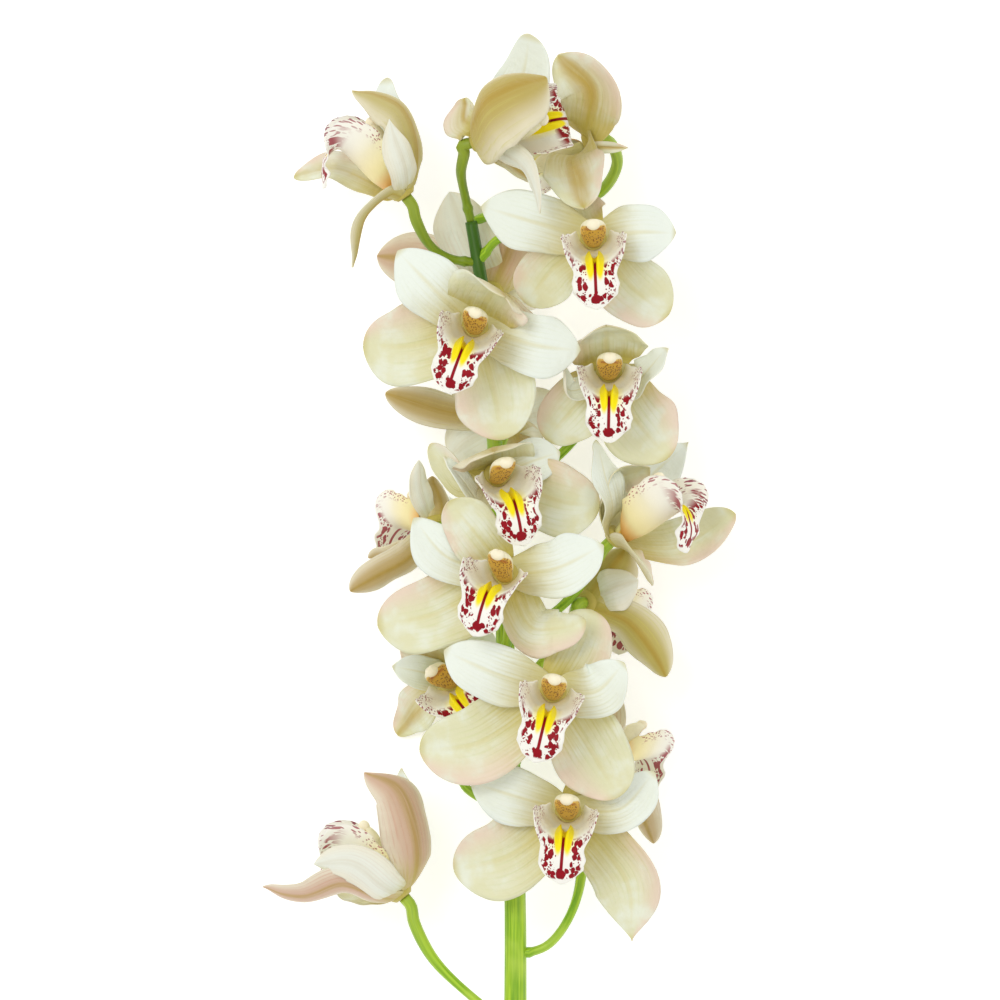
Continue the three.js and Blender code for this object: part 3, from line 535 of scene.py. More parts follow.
def tepal_half_width(t, shape, petal):
    half = shape["wide"] * UNIT / 2
    rise = np.sin(math.pi / 2 * np.minimum(t / PEAK, 1)) ** SHOULDER
    beyond = np.clip((t - PEAK) / (1 - PEAK), 0, 1)
    taper = shape["taper"] or (PETAL_TAPER if petal else SEPAL_TAPER)
    end = np.maximum((1 - beyond**2) ** taper, POINT_WIDTH)
    return half * np.where(t < PEAK, FOOT_WIDTH + (1 - FOOT_WIDTH) * rise, end)


def add_tepal(skin, bloom, part, shape, chance, number):
    petal = part.startswith("petal")
    rows, columns = TEPAL_GRID
    heart, face, *_ = bloom_frame(bloom)
    places = [point(p) for p in shape["path"]]
    outward = places[0] - heart
    outward = unit(outward - face * (outward @ face))
    base = heart - face * (PETAL_DEPTH if petal else SEPAL_DEPTH)
    path = Path([base + outward * FOOT_START, base + outward * CLAW_LENGTH, *places])
    steps = 1 - (1 - np.linspace(0, 1, rows)) ** TIP_CROWDING
    at, tangents, normals, sides = path.frames(steps, face)
    turn = math.radians(shape["roll"]) * np.minimum(1, steps * ROLL_GROWTH)
    normals, sides = turned(normals, tangents, turn), turned(sides, tangents, turn)
    s, t = np.meshgrid(np.linspace(-1, 1, columns), steps)
    half = tepal_half_width(t, shape, petal)
    bend = shape["cup"] * np.minimum(1, FOOT_CUP + t * CUP_GROWTH)
    lateral, rise = arc(half * (1 + shape["lean"] * s), bend, s)
    rise = rise + ripple(s, t, half, petal, chance)
    for margin in (-1, 1):
        bays = margin_wave(s * margin, t, BAY_TURNS, chance)
        lateral = lateral + margin * BAY_DEPTH * half * bays * ramp(t, 0.1, 0.4)
    grid = swept(at, sides, normals, lateral, rise)
    flesh = stacked(s * half, t * path.length, number * TEPAL_STEP)
    # the sign of golden says which half of a sepal blushes
    golden = GOLDEN_RIBS.get(number, MIDDLING) * chance.choice((-1, 1))
    nature = (float(petal), ROSY_BACKS.get(number, MIDDLING), golden)
    add_sheet(skin, grid, TEPAL_THICKNESS, s, t, flesh, nature, floor=bloom["rests"])


def margin_wave(out, t, turns, chance):
    """A wave along one margin, which dies away towards the midrib."""
    turns, phase = chance.uniform(*turns), chance.uniform(0, math.tau)
    return np.sin(math.tau * turns * t + phase) * np.clip(out, 0, 1) ** 2


def ripple(s, t, half, petal, chance):
    """Waves of a tepal's margins, a crease along its midrib and a tip that bends a little."""
    depth = PETAL_WAVE if petal else SEPAL_WAVE
    waves = 0
    for margin in (-1, 1):
        wave = margin_wave(s * margin, t, WAVE_TURNS, chance)
        waves = waves + wave * half * depth * ramp(t, 0.12, 0.45)
        curl = np.clip((s * margin - 0.7) / 0.3, 0, 1) ** 2 * ramp(t, 0.2, 0.5)
        waves = waves - curl * half * chance.uniform(*CURL)
    crease = np.exp(-((s / CREASE_WIDTH) ** 2)) * ramp(t, 0, 0.2) * ramp(-t, -0.98, -0.6)
    tip = chance.uniform(*TIP_BEND) * ramp(t, 0.86, 1.0)
    return waves - CREASE_DEPTH * crease + tip


RECEPTACLE_SIDES = 20
RECEPTACLE_NATURE = (0, 0.5, 0.5)
# shares of the receptacle's radius and depth, from its back to its front
RECEPTACLE_PROFILE = ((0.12, -1), (0.7, -1), (0.9, -0.7), (1, -0.4), (1, -0.1), (0.93, 0), (0.12, 0))


def add_receptacle(skin, bloom):
    frame = bloom_frame(bloom)
    turns = around(RECEPTACLE_SIDES)
    rings = [
        [
            place(frame, deep * RECEPTACLE_DEPTH, *(RECEPTACLE_RADIUS * share * np.array(spoke)))
            for spoke in zip(np.sin(turns), np.cos(turns))
        ]
        for share, deep in RECEPTACLE_PROFILE
    ]
    add_tube(skin, np.array(rings), (0, 0, 0.5), (0, 0, 0), RECEPTACLE_NATURE)


# ---- Lip and column, in pairs of forward from the bloom's face and up to its dorsal sepal ----
LIP_SHARES = (0, 0.08, 0.2, 0.34, 0.48, 0.58, 0.66, 0.78, 0.9, 1)
LIP_HALVES = (5.0, 14.5, 21, 23.5, 25, 23, 11, 10.4, 9.8, 8)
LIP_ANGLES = (1.1, 1.9, 2.0, 1.95, 1.85, 1.65, 0.7, -0.15, -0.5, -0.6)
LIP_PATH = ((1.35, -5.2), (10, -8.2), (21, -10), (30, -12.6), (33.5, -20.5), (30, -31))
LIP_BEND = 3  # the place in that path round which a recurved midlobe is turned
OPEN_WIDTH, OPEN_ANGLE = 0.8, 0.86  # of spread side lobes, as shares of erect ones
SIDE_LOBES = slice(2, 6)
LIP_END = 0.84  # share of the lip's length where its round end begins
LIP_POINT = 0.03  # share of its width at its very tip
LIP_CROWDING = 1.35  # how much closer the rows lie towards the lip's end
FLARE_OUT, FLARE_DOWN = 1.8, 0.8  # of the side lobes' margins
FLARE_START = 0.62  # share of the half width
FRILL_TURNS = (5.5, 7)  # least and most
FRILL, WING_FRILL = 0.9, 0.5  # height of the waves round the midlobe and the side lobes
SCALLOP, SCALLOP_TURNS = 0.22, 1.3  # depth of the midlobe's notches, and their turns for one frill
KEEL_WIDTH, KEEL_HEIGHT = 1.4, 3.2
KEEL_PLACE, KEEL_MEETING = 3.1, 1.4  # from the middle at the back, and how much less in front
FURROW_WIDTH, FURROW_DEPTH = 0.5, 0.3  # between the keels
LIP_STEP, COLUMN_STEP = 11.7, 5.1  # between the markings of one bloom and the next
COLUMN_PATH = ((SEAT_GAP + 0.6, -0.6), (8, 0.6), (17, 3.2), (25, 5.8), (31, 5.3))
COLUMN_HALVES = (4.0, 4.8, 5.6, 5.4, 2.8)
COLUMN_DEPTHS = (3.2, 3.3, 3.2, 2.8, 1.9)
COLUMN_HOLLOW = 0.45  # of the channel along its underside, as a share of its depth
COLUMN_END = 0.9  # share of its length where its round end begins


def bloom_frame(bloom):
    forward = direction(bloom["face"])
    up = direction(bloom["up"])
    up = unit(up - forward * (up @ forward))
    return point(bloom["heart"]), forward, up, np.cross(up, forward)


def bloom_path(bloom, frame, path):
    """Path through pairs of forward and up; only the first pair, the seat, keeps its size."""
    size = bloom["size"]
    pairs = [path[0]] + [(f * size, u * size) for f, u in path[1:]]
    return Path([place(frame, f, u, 0) for f, u in pairs]), size


def place(frame, f, u, s):
    origin, forward, up, side = frame
    return origin + forward * f + up * u + side * s


def lip_path(bloom):
    turn = math.radians(bloom["recurve"])
    cosine, sine = math.cos(turn), math.sin(turn)
    bend_f, bend_u = LIP_PATH[LIP_BEND]
    for f, u in LIP_PATH[LIP_BEND + 1 :]:
        x, y = f - bend_f, u - bend_u
        yield bend_f + x * cosine + y * sine, bend_u - x * sine + y * cosine


def add_lip(skin, bloom, chance, number):
    frame = bloom_frame(bloom)
    path, size = bloom_path(bloom, frame, [*LIP_PATH[: LIP_BEND + 1], *lip_path(bloom)])
    rows, columns = LIP_GRID
    steps = 1 - (1 - np.linspace(0, 1, rows)) ** LIP_CROWDING
    at, _, normals, sides = path.frames(steps, frame[2])
    across = np.linspace(-1, 1, columns)
    s, t = np.meshgrid(across * (0.6 + 0.4 * across**2), steps)
    beyond = np.clip((t - LIP_END) / (1 - LIP_END), 0, 1)
    halves, angles = np.array(LIP_HALVES), np.array(LIP_ANGLES)
    if bloom["spread"]:
        halves[SIDE_LOBES] *= OPEN_WIDTH
        angles[SIDE_LOBES] *= OPEN_ANGLE
    half = spline(t, LIP_SHARES, halves) * np.maximum((1 - beyond**2) ** 0.5, LIP_POINT)
    lateral, rise = arc(half, spline(t, LIP_SHARES, angles), s)
    wing = ramp(t, 0.16, 0.34) * ramp(-t, -0.64, -0.5)  # where the erect side lobes are
    flare = np.clip((np.abs(s) - FLARE_START) / (1 - FLARE_START), 0, 1) ** 2 * wing
    lateral = lateral + np.sign(s) * flare * FLARE_OUT
    rise = rise - flare * FLARE_DOWN
    midlobe = ramp(t, 0.58, 0.7)
    for margin in (-1, 1):
        turns, phase = chance.uniform(*FRILL_TURNS), chance.uniform(0, math.tau)
        edge = np.clip(s * margin, 0, 1)
        frill = np.sin(math.tau * turns * t + phase)
        rise = rise + frill * edge**3 * (FRILL * midlobe + WING_FRILL * wing)
        scallop = np.sin(math.tau * turns * SCALLOP_TURNS * t + phase)
        lateral = lateral + margin * SCALLOP * scallop * edge**4 * midlobe
    lateral, rise = lateral * size, rise * size
    grid = swept(at, sides, normals, lateral, rise)
    place_across = s * half
    keel_place = KEEL_PLACE - KEEL_MEETING * ramp(t, 0.3, 0.66)
    keels = np.exp(-(((np.abs(place_across) - keel_place) / KEEL_WIDTH) ** 2))
    keels = keels * ramp(t, 0.16, 0.32) * ramp(-t, -0.74, -0.5)
    furrow = np.exp(-((place_across / FURROW_WIDTH) ** 2)) * ramp(t, 0.3, 0.4) * ramp(-t, -0.9, -0.7)
    flesh = stacked(place_across, t * path.length, number * LIP_STEP)
    raised = keels * KEEL_HEIGHT - FURROW_DEPTH * furrow
    add_sheet(skin, grid, LIP_THICKNESS, s, t, flesh, (0, 0, 0), raised)


def add_column(skin, bloom, number):
    frame = bloom_frame(bloom)
    path, size = bloom_path(bloom, frame, COLUMN_PATH)
    steps = np.linspace(0, 1, COLUMN_RINGS)
    at, _, normals, sides = path.frames(steps, frame[2])
    knots = np.linspace(0, 1, len(COLUMN_PATH))
    turn, t = np.meshgrid(around(COLUMN_SIDES), steps)
    wide = spline(t, knots, COLUMN_HALVES) * size
    deep = spline(t, knots, COLUMN_DEPTHS) * size
    below = np.clip(-np.sin(turn), 0, 1)
    hollow = COLUMN_HOLLOW * below**2 * ramp(t, 0.1, 0.4) * ramp(-t, -1, -0.85)
    end = np.sqrt(np.clip(1 - np.clip((t - COLUMN_END) / (1 - COLUMN_END), 0, 1) ** 2, 0.05, 1))
    lateral = -wide * np.cos(turn) * end
    rise = deep * np.sin(turn) * (1 - hollow) * end
    rings = swept(at, sides, normals, lateral, rise)
    blade = stacked(np.cos(turn), t, np.sin(turn))
    flesh = stacked(lateral, t * path.length, number * COLUMN_STEP)
    add_tube(skin, rings, blade, flesh, (0, 0, 0))
    add_cap(skin, place(frame, CAP_FORWARD * size, CAP_UP * size, 0), frame, size, number)


CAP_FORWARD, CAP_UP = 30.8, 5.9
CAP_SIZE = (2.7, 2.6, 3.0)  # forward, up and sideways
CAP_RINGS = 14
CAP_END = 0.08  # radians left open round its poles
CAP_NOTCH = 0.16


def add_cap(skin, middle, frame, size, number):
    """The anther cap at the column's end."""
    rise = np.linspace(-math.pi / 2 + CAP_END, math.pi / 2 - CAP_END, CAP_RINGS)
    turn, tilt = np.meshgrid(around(COLUMN_SIDES), rise)
    forward, up, side = frame[1:]
    long, high, wide = (k * size for k in CAP_SIZE)
    notch = 1 - CAP_NOTCH * np.exp(-((np.cos(turn) / 0.3) ** 2)) * (np.sin(turn) > 0)
    rings = (
        middle
        + (np.cos(tilt) * np.cos(turn) * wide)[..., None] * side
        + (np.cos(tilt) * np.sin(turn) * high * notch)[..., None] * up
        + (np.sin(tilt) * long)[..., None] * forward
    )
    flesh = rings - middle + number * COLUMN_STEP
    blade = stacked(np.cos(turn), 1, np.sin(turn))
    add_tube(skin, rings, blade, flesh, (0, 0, 1))


# ---- Stem: the main axis, and a pedicel with its ovary for each bloom ----
NEARLY_UPRIGHT = 0.9  # of a direction's rise
STEM_RIDGES, PEDICEL_RIDGES = (7, 0.012), (6, 0.03)  # count, and height as a share of the radius
STEM_TAPER = 1.3
STEM_STEPS = 2000  # in which the pedicels' places are looked for
STALK_STEP = 9  # between the markings of one stalk and another
COLLAR_HEIGHT, COLLAR_PLACE, COLLAR_WIDTH = 0.5, 6, 1.3  # of the ring near a pedicel's root


def add_round(skin, path, rings, sides, radius_at, ridges, nature):
    """A round green stalk along a path, with low ridges along it."""
    steps = np.linspace(0, 1, rings)
    upright = abs(path.tangent(steps[:1])[0, 2]) > NEARLY_UPRIGHT
    at, _, normals, across = path.frames(steps, np.array([1, 0, 0] if upright else [0, 0, 1]))
    turn, t = np.meshgrid(around(sides), steps)
    radius = radius_at(t)
    count, height = ridges
    shape = 1 + height * np.cos(count * turn)
    lateral, rise = -radius * np.cos(turn) * shape, radius * np.sin(turn) * shape
    blade = stacked(np.cos(turn), t, np.sin(turn))
    flesh = stacked(turn * radius, t * path.length, nature[1] * STALK_STEP)
    add_tube(skin, swept(at, across, normals, lateral, rise), blade, flesh, nature)


def stem_place_at(path, y):
    """Place on the stem's axis at that height of the layout grid."""
    places = path.at(np.linspace(0, 1, STEM_STEPS))
    return places[np.argmin(np.abs(places[:, 1] - point((0, y, 0))[1]))]


def add_pedicel(skin, bloom, axis, number):
    heart, face, *_ = bloom_frame(bloom)
    end = heart - face * (RECEPTACLE_DEPTH + SEAT_GAP)
    before = heart - face * (RECEPTACLE_DEPTH + NECK_LENGTH)
    height, *via = bloom["pedicel"]
    path = Path([stem_place_at(axis, height), *(point(p) for p in via), before, end])
    swelling = lambda t: PEDICEL_RADIUS + (OVARY_RADIUS - PEDICEL_RADIUS) * ramp(t, 0.35, 0.8)
    ring = lambda t: np.exp(-((t * path.length - COLLAR_PLACE) / COLLAR_WIDTH) ** 2)
    radius_at = lambda t: swelling(t) + COLLAR_HEIGHT * ring(t)
    nature = (1, number / len(BLOOMS), 0)
    add_round(skin, path, PEDICEL_RINGS, PEDICEL_SIDES, radius_at, PEDICEL_RIDGES, nature)


# ---- Materials ----
class Look:
    """Short names for one material's nodes."""

    def __init__(self, name, roughness, **constants):
        self.material = bpy.data.materials.new(name)
        self.material.use_nodes = True
        self.tree = self.material.node_tree
        self.shader = self.tree.nodes["Principled BSDF"]
        self.shader.inputs["Roughness"].default_value = roughness
        for label, value in constants.items():
            self.shader.inputs[label.replace("_", " ")].default_value = value

    def feed(self, socket, value):
        if isinstance(value, bpy.types.NodeSocket):
            self.tree.links.new(value, socket)
        elif isinstance(value, (int, float)):
            socket.default_value = value
        else:
            socket.default_value = (*value, 1)[: len(socket.default_value)]

    def node(self, kind, inputs=(), output=0, **settings):
        made = self.tree.nodes.new(kind)
        for key, value in settings.items():
            setattr(made, key, value)
        for key, value in dict(inputs).items():
            self.feed(made.inputs[key], value)
        return made.outputs[output]

    def attribute(self, name):
        vector = self.node("ShaderNodeAttribute", output="Vector", attribute_name=name)
        split = self.tree.nodes.new("ShaderNodeSeparateXYZ")
        self.feed(split.inputs[0], vector)
        return vector, *split.outputs

    def math(self, operation, a, b=0):
        return self.node("ShaderNodeMath", {0: a, 1: b}, operation=operation)

    def plus(self, a, b):
        return self.math("ADD", a, b)

    def minus(self, a, b):
        return self.math("SUBTRACT", a, b)

    def squared(self, a):
        return self.math("POWER", a, 2)

    def inverse(self, a):
        return self.minus(1, a)

    def size(self, a):
        return self.math("ABSOLUTE", a)

    def times(self, *factors):
        return functools.reduce(lambda a, b: self.math("MULTIPLY", a, b), factors)

    def most(self, *values):
        return functools.reduce(lambda a, b: self.math("MAXIMUM", a, b), values)

    def span(self, value, low, high):
        """Smooth step of value from 0 at low to 1 at high, which may lie below low."""
        ends = {"Value": value, "From Min": min(low, high), "From Max": max(low, high)}
        step = self.node("ShaderNodeMapRange", ends, interpolation_type="SMOOTHSTEP")
        return step if low < high else self.inverse(step)

    def mix(self, share, a, b):
        inputs = {"Factor": share, "A": a, "B": b}
        return self.node("ShaderNodeMix", inputs, output="Result", data_type="RGBA")

    def layers(self, colour, *coats):
        """A colour with coats over it, each a share and a colour."""
        for share, coat in coats:
            colour = self.mix(share, colour, coat)
        return colour

    def noise(self, place, scale=1, detail=2):
        return self.node("ShaderNodeTexNoise", {"Vector": place, "Scale": scale, "Detail": detail})

    def cells(self, place, randomness=1):
        inputs = {"Vector": place, "Scale": 1, "Randomness": randomness}
        return self.node("ShaderNodeTexVoronoi", inputs, output="Distance")

    def stretched(self, place, scale):
        return self.node("ShaderNodeVectorMath", {0: place, 1: scale}, operation="MULTIPLY")

    def bump(self, height, depth):
        bumps = self.node("ShaderNodeBump", {"Height": height, "Distance": depth})
        self.feed(self.shader.inputs["Normal"], bumps)

    def colour(self, value):
        self.feed(self.shader.inputs["Base Color"], value)
        return self.material


PETAL_WHITE = (0.84, 0.89, 0.8)
SEPAL_CREAM = (0.75, 0.74, 0.48)
# olive: the tepals' own yellow-green at tips and feet, and at the feet also painted shade
OLIVE = (0.56, 0.47, 0.09)
VEIN_GREEN = (0.58, 0.64, 0.24)
VEIN_OLIVE, VEIN_PINK = (0.6, 0.56, 0.14), (0.62, 0.32, 0.22)
BLUSH = (0.84, 0.64, 0.54)
RIB_YELLOW = (0.68, 0.6, 0.22)
# gold: the band down a sepal's inner middle, partly painted shade in its hollow
GOLD = (0.5, 0.33, 0.035)
BACK_OLIVE = (0.6, 0.57, 0.24)
BACK_GOLD = (0.48, 0.37, 0.08)
BACK_PINK = (0.66, 0.46, 0.33)
PETAL_BACK, MARGIN_BACK = (0.82, 0.83, 0.72), (0.84, 0.79, 0.62)
MIDRIB_GOLD = (0.44, 0.28, 0.03)
TEPAL_RELIEF, STEM_RELIEF, COLUMN_RELIEF = 0.0002, 0.00012, 0.00015  # metres


def tepal_material():
    m = Look("tepal", 0.5, Sheen_Weight=0.08, Specular_IOR_Level=0.3)
    _, s, t, inner = m.attribute("blade")
    flesh, *_ = m.attribute("flesh")
    _, petal, pink, side = m.attribute("nature")
    sepal, golden, off_middle = m.inverse(petal), m.size(side), m.size(s)
    by_kind = lambda petals, more: m.plus(m.times(sepal, more), petals)
    cloud = m.noise(flesh, 0.09, 3)
    streak = m.noise(m.stretched(flesh, (1.1, 0.03, 1)))
    broad = m.noise(m.stretched(flesh, (0.3, 0.03, 1)))
    lines = m.math("SINE", m.times(m.plus(s, m.times(streak, 0.16)), 40))
    vein = m.times(m.span(lines, 0.2, 1), m.span(t, 0.98, 0.45), m.span(streak, 0.25, 0.7))
    # one half of a sepal blushes
    towards = m.times(s, m.math("SIGN", side))
    rosy = m.times(m.span(towards, 0.1, 1), m.span(cloud, 0.8, 0.4), sepal, 0.75)
    rib = m.times(m.span(off_middle, 0.12, 0), m.span(t, 1, 0.6), 0.35)
    # a gold band down the middle of a cupped sepal's inner face: partly its own gold, partly painted
    # shade in the hollow along the midrib
    band = m.times(m.span(off_middle, 0.7, 0), m.span(golden, 0.4, 1))
    band = m.times(band, m.span(broad, 0.1, 0.6), sepal, 0.85)
    depth = m.minus(t, m.times(m.minus(streak, 0.5), 0.25))
    front = m.layers(
        m.mix(petal, SEPAL_CREAM, PETAL_WHITE),
        (m.times(m.span(cloud, 0.4, 0.7), 0.6), PETAL_WHITE),
        (m.times(vein, by_kind(0.14, 0.16)), VEIN_GREEN),
        (rosy, BLUSH),
        (rib, RIB_YELLOW),
        (band, GOLD),
        # olive towards the foot of the inner face: partly the tepal's own yellow-green base, partly
        # painted shade where the lip and column shade it
        (m.times(m.span(depth, 0.62, 0.1), by_kind(0.75, 0.2)), OLIVE),
        (m.times(m.span(t, 0.93, 1), 0.5), OLIVE),
    )
    keel = m.times(m.span(off_middle, 0.3, 0), by_kind(0.15, 0.55))
    back = m.layers(
        m.mix(m.span(golden, 0.4, 1), BACK_OLIVE, BACK_GOLD),
        (pink, BACK_PINK),
        (petal, PETAL_BACK),
        (m.times(m.span(off_middle, 0.3, 0.95), 0.75), MARGIN_BACK),
        (m.times(vein, by_kind(0.15, 0.35)), m.mix(pink, VEIN_OLIVE, VEIN_PINK)),
        (m.times(keel, m.span(streak, 0.1, 0.55)), MIDRIB_GOLD),
        (m.times(m.span(depth, 0.36, 0), 0.7), OLIVE),
    )
    relief = m.plus(m.times(vein, -0.4), m.times(m.noise(flesh, 1.6, 3), 0.5))
    m.bump(m.plus(relief, m.times(m.noise(flesh, 0.22), 3)), TEPAL_RELIEF)
    return m.colour(m.mix(inner, back, front))


LIP_WHITE = (0.93, 0.91, 0.83)
CRIMSON, SCARLET = (0.19, 0, 0.006), (0.38, 0, 0.008)
WINE = (0.26, 0.012, 0.05)
BACK_WINE = (0.34, 0.015, 0.04)
KEEL_YELLOW = (0.96, 0.8, 0.002)
PALE_YELLOW = (1, 0.9, 0.22)
# throat cream: whiter and greener than the rest of the lip, partly its own cream and partly painted
# light that lifts the shade of the deep trough
THROAT_CREAM = (0.94, 1, 0.9)
LIP_GOLD = (0.92, 0.78, 0.3)
LIP_FOOT = (0.8, 0.34, 0.04)


def lip_material():
    m = Look("lip", 0.45, Specular_IOR_Level=0.2)
    _, s, t, inner = m.attribute("blade")
    flesh, across, *_ = m.attribute("flesh")
    off_middle, reach = m.size(s), m.size(across)
    wobble = m.noise(flesh, 0.35)
    # the throat beside the column: its own cream, made lighter as painted light against the trough's
    # shade
    throat = m.times(m.span(reach, 16, 4), m.span(t, 0.74, 0.5), 0.85)
    # small spots along the side lobes
    fine = (0.95, 0.8, 1)
    lobe = m.times(m.span(t, 0.2, 0.3), m.span(off_middle, 0.6, 0.76), m.span(t, 0.68, 0.62))
    spots = m.span(m.cells(m.stretched(flesh, fine)), 0.42, 0.32)
    spots = m.times(spots, lobe, m.span(m.noise(flesh, 0.5), 0.32, 0.42))
    # the two keels
    ear = m.squared(m.times(m.minus(reach, 2.1), 0.4))
    reached = m.squared(m.times(m.minus(t, 0.46), 3.7))
    keel = m.span(m.plus(ear, reached), 1.25, 0.75)
    # crimson blotches inside the white rim of the midlobe, whose middle stays pale but for a line
    edge = m.plus(off_middle, m.times(m.minus(wobble, 0.5), 0.3))
    field = m.times(m.span(t, 0.56, 0.62), m.span(t, 0.965, 0.945), m.span(edge, 0.86, 0.8))
    clear = m.most(m.span(reach, 1.8, 4.6), m.times(m.span(t, 0.79, 0.88), 0.75))
    shrunk = m.times(m.inverse(clear), 0.5)
    shifts = {0: flesh, 1: m.stretched(wobble, (2.2, 2.2, 0))}
    bent = m.node("ShaderNodeVectorMath", shifts, operation="ADD")
    blots = m.cells(m.stretched(bent, (0.44, 0.32, 1)), 0.85)
    blots = m.span(m.plus(blots, shrunk), 0.56, 0.51)
    small = m.span(m.plus(m.cells(m.stretched(bent, fine)), shrunk), 0.34, 0.29)
    low = m.times(m.minus(t, 0.905), 20)
    far = m.plus(m.squared(m.times(reach, 0.42)), m.times(low, low))
    heart = m.span(m.plus(far, m.times(wobble, 1.6)), 1.75, 1.5)
    red = m.times(m.most(blots, small, heart), field, m.inverse(keel))
    line = m.times(m.span(reach, 0.85, 0.55), m.span(t, 0.52, 0.58), m.span(t, 0.93, 0.88))
    red = m.most(red, line)
    pale = m.times(m.span(reach, 8, 3), m.span(t, 0.2, 0.42), m.span(t, 0.76, 0.6), 0.75)
    front = m.layers(
        m.mix(throat, LIP_WHITE, THROAT_CREAM),
        (m.times(spots, 0.92), WINE),
        (pale, PALE_YELLOW),
        (keel, KEEL_YELLOW),
        (red, m.mix(wobble, CRIMSON, SCARLET)),
        (m.times(m.span(t, 0.16, 0.03), 0.4), LIP_GOLD),
    )
    rim = m.times(spots, m.span(off_middle, 0.74, 0.9), 0.8)
    back = m.layers(
        m.mix(m.times(m.span(t, 0.66, 0.2), 0.75), LIP_WHITE, LIP_GOLD),
        (m.times(m.span(t, 0.2, 0.02), 0.8), LIP_FOOT),
        (m.most(m.times(red, 0.9), rim), BACK_WINE),
    )
    relief = m.plus(m.times(m.noise(flesh, 1.2, 3), 0.8), m.times(red, 0.3))
    m.bump(relief, TEPAL_RELIEF)
    return m.colour(m.mix(inner, back, front))


UNDERSIDE, DOT_BROWN = (0.8, 0.5, 0.08), (0.3, 0.08, 0.008)
STIGMA_BROWN = (0.5, 0.12, 0.02)
COLUMN_FOOT, COLUMN_CREAM = (0.78, 0.74, 0.34), (0.9, 0.84, 0.58)
CAP_CREAM, CAP_TAN = (0.96, 0.92, 0.7), (0.93, 0.78, 0.52)


def column_material():
    m = Look("column", 0.42, Specular_IOR_Level=0.3)
    _, _, t, above = m.attribute("blade")
    flesh, *_ = m.attribute("flesh")
    *_, cap = m.attribute("nature")
    # the underside is seen from in front, so that its dots are drawn out along it
    dots = m.cells(m.stretched(flesh, (1.25, 0.5, 1)))
    speckle = m.times(m.span(dots, 0.42, 0.3), m.span(t, 0.1, 0.3), m.inverse(cap))
    stigma = m.times(m.span(t, 0.66, 0.76), m.span(t, 0.92, 0.84), m.span(above, -0.5, -0.85), 0.75)
    under = m.layers(UNDERSIDE, (m.times(speckle, 0.85), DOT_BROWN), (stigma, STIGMA_BROWN))
    top = m.mix(m.span(t, 0.1, 0.6), COLUMN_FOOT, COLUMN_CREAM)
    body = m.mix(m.span(above, 0.05, -0.3), top, under)
    caps = m.mix(m.times(m.noise(flesh, 0.5), 0.7), CAP_CREAM, CAP_TAN)
    m.bump(m.plus(m.times(speckle, -0.6), m.noise(flesh, 1, 3)), COLUMN_RELIEF)
    return m.colour(m.mix(cap, body, caps))


DEEP_GREEN, BRIGHT_GREEN = (0.17, 0.38, 0.008), (0.44, 0.66, 0.03)
YELLOW_GREEN = (0.54, 0.7, 0.09)
TIP_GREEN = (0.03, 0.11, 0.006)  # of the main stem
TOPMOST_GREEN = (0.15, 0.21, 0.006)  # of the first pedicels
OVARY_GREEN = (0.46, 0.54, 0.07)
CUT_GREEN = (0.62, 0.7, 0.34)


def stem_material():
    m = Look("stem", 0.38, Specular_IOR_Level=0.35)
    _, _, t, _ = m.attribute("blade")
    flesh, *_ = m.attribute("flesh")
    _, pedicel, number, _ = m.attribute("nature")
    main = m.inverse(pedicel)
    streak = m.noise(m.stretched(flesh, (0.8, 0.03, 1)), 1, 3)
    cloud = m.noise(flesh, 0.06)
    green = m.layers(
        m.mix(m.span(streak, 0.3, 0.72), DEEP_GREEN, BRIGHT_GREEN),
        (m.times(m.span(cloud, 0.45, 0.8), 0.6), YELLOW_GREEN),
        (m.times(main, m.span(t, 0.72, 0.94), 0.93), TIP_GREEN),
        (m.times(pedicel, m.span(number, 0.18, 0.14), 0.75), TOPMOST_GREEN),
        (m.times(pedicel, m.span(t, 0.4, 0.95), 0.4), OVARY_GREEN),
        (m.times(main, m.span(t, 0.0008, 0)), CUT_GREEN),
    )
    m.bump(streak, STEM_RELIEF)
    return m.colour(green)


FLOOR_GREYS = (0.93, 0.93, 0.93), (0.95, 0.95, 0.95)
FLOOR_GLOW = 0.34


def floor_material():
    m = Look("floor", 0.8, Emission_Color=(1, 1, 1, 1), Emission_Strength=FLOOR_GLOW)
    place = m.node("ShaderNodeTexCoord", output="Object")
    return m.colour(m.mix(m.noise(place, 3), *FLOOR_GREYS))


# ---- The spike ----
def dress(skin, name, material):
    piece = skin.build(f"{name}_fine", material)
    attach(piece, "root")
    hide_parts(name)


def make_bloom(bloom, number, looks):
    chance = random.Random(SEED * 100 + number)
    tepals, lip, column = Skin(), Skin(), Skin()
    for part, shape in bloom["tepals"].items():
        add_tepal(tepals, bloom, part, shape, chance, number)
    add_receptacle(tepals, bloom)
    add_lip(lip, bloom, chance, number)
    add_column(column, bloom, number)
    for skin, slot in ((tepals, "tepals"), (lip, "lip"), (column, "column")):
        dress(skin, f"bloom_{number:02d}_{slot}", looks[slot])


# x, y in the layout grid, from the cut end to the tip
STEM_LINE = ((515, 1262), (515, 1080), (515, 900), (511, 780), (505, 640))
STEM_LINE += ((498, 500), (491, 390), (484, 300), (478, 262), (471, 221))


def make_stem(material):
    skin = Skin()
    axis = Path([point((x, y, STEM_HEIGHT)) for x, y in STEM_LINE])
    taper = STEM_RADIUS_CUT - STEM_RADIUS_TIP
    radius_at = lambda t: STEM_RADIUS_CUT - taper * t**STEM_TAPER
    add_round(skin, axis, STEM_RINGS, STEM_SIDES, radius_at, STEM_RIDGES, (0, 0, 0))
    for number, bloom in enumerate(BLOOMS, 1):
        add_pedicel(skin, bloom, axis, number)
    dress(skin, "stem", material)


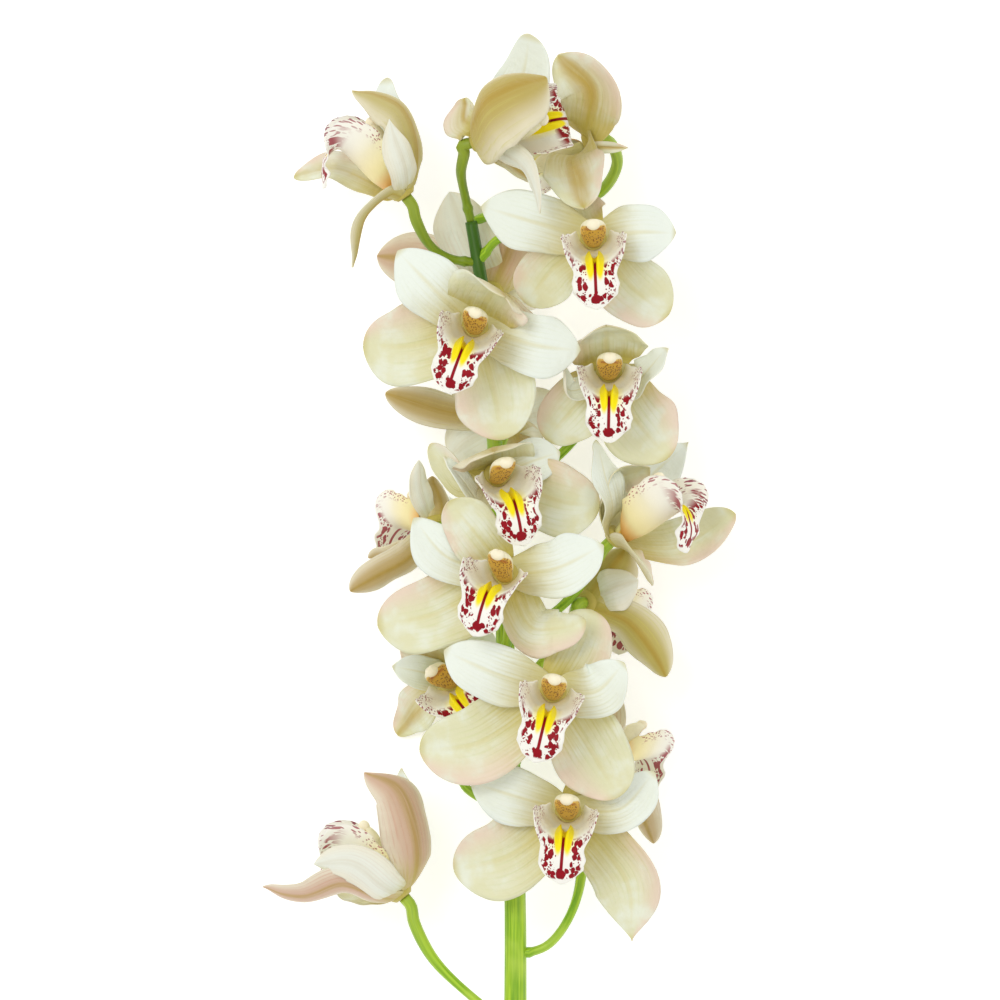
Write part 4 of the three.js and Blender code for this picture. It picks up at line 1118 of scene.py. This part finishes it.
looks = {"tepals": tepal_material(), "lip": lip_material(), "column": column_material()}
for number, bloom in enumerate(BLOOMS, 1):
    make_bloom(bloom, number, looks)
make_stem(stem_material())

# ---- Floor, light and camera ----
FLOOR_SIZE = 6.0
PICTURE_UNITS = 1000  # the picture's width and height in layout units
PICTURE_MIDDLE = (500, 500)
CAMERA_HEIGHT = 6.0
TRUE_HEIGHT = 150  # layout units: what lies at it is seen at its place in the grid
SENSOR = 36.0
WORLD_STRENGTH = 0.78
LIGHTS = {  # place, aim, size and power
    "key": ((-0.75, 0.65, 2.3), (0, 0.02, 0.05), 0.9, 15),
    "fill": ((1.2, -0.4, 1.4), (0, 0, 0.05), 1.4, 3),
}


def make_floor():
    half = FLOOR_SIZE / 2
    mesh = bpy.data.meshes.new("floor")
    corners = [(-half, -half, 0), (half, -half, 0), (half, half, 0), (-half, half, 0)]
    mesh.from_pydata(corners, [], [(0, 1, 2, 3)])
    mesh.materials.append(floor_material())
    floor = add_object("floor", mesh)


def make_light(name, place, aim, size, power):
    data = bpy.data.lights.new(name, "AREA")
    data.size, data.energy = size, power
    lamp = add_object(name, data)
    lamp.location = place
    lamp.rotation_euler = (Vector(aim) - Vector(place)).to_track_quat("-Z", "Y").to_euler()


def make_camera():
    data = bpy.data.cameras.new("camera")
    x, y, z = point((*PICTURE_MIDDLE, TRUE_HEIGHT)) * MM
    data.sensor_width = SENSOR
    data.lens = SENSOR * (CAMERA_HEIGHT - z) / (PICTURE_UNITS * UNIT * MM)
    data.clip_end = 100
    camera = add_object("camera", data)
    camera.location = (x, y, CAMERA_HEIGHT)
    bpy.context.scene.camera = camera


def make_world(strength):
    world = bpy.data.worlds.new("studio")
    world.use_nodes = True
    background = world.node_tree.nodes["Background"]
    background.inputs["Color"].default_value = (1, 1, 1, 1)
    background.inputs["Strength"].default_value = strength
    bpy.context.scene.world = world


make_floor()
make_world(WORLD_STRENGTH)
for name, light in LIGHTS.items():
    make_light(name, *light)
make_camera()
bpy.context.scene.view_settings.view_transform = "Standard"
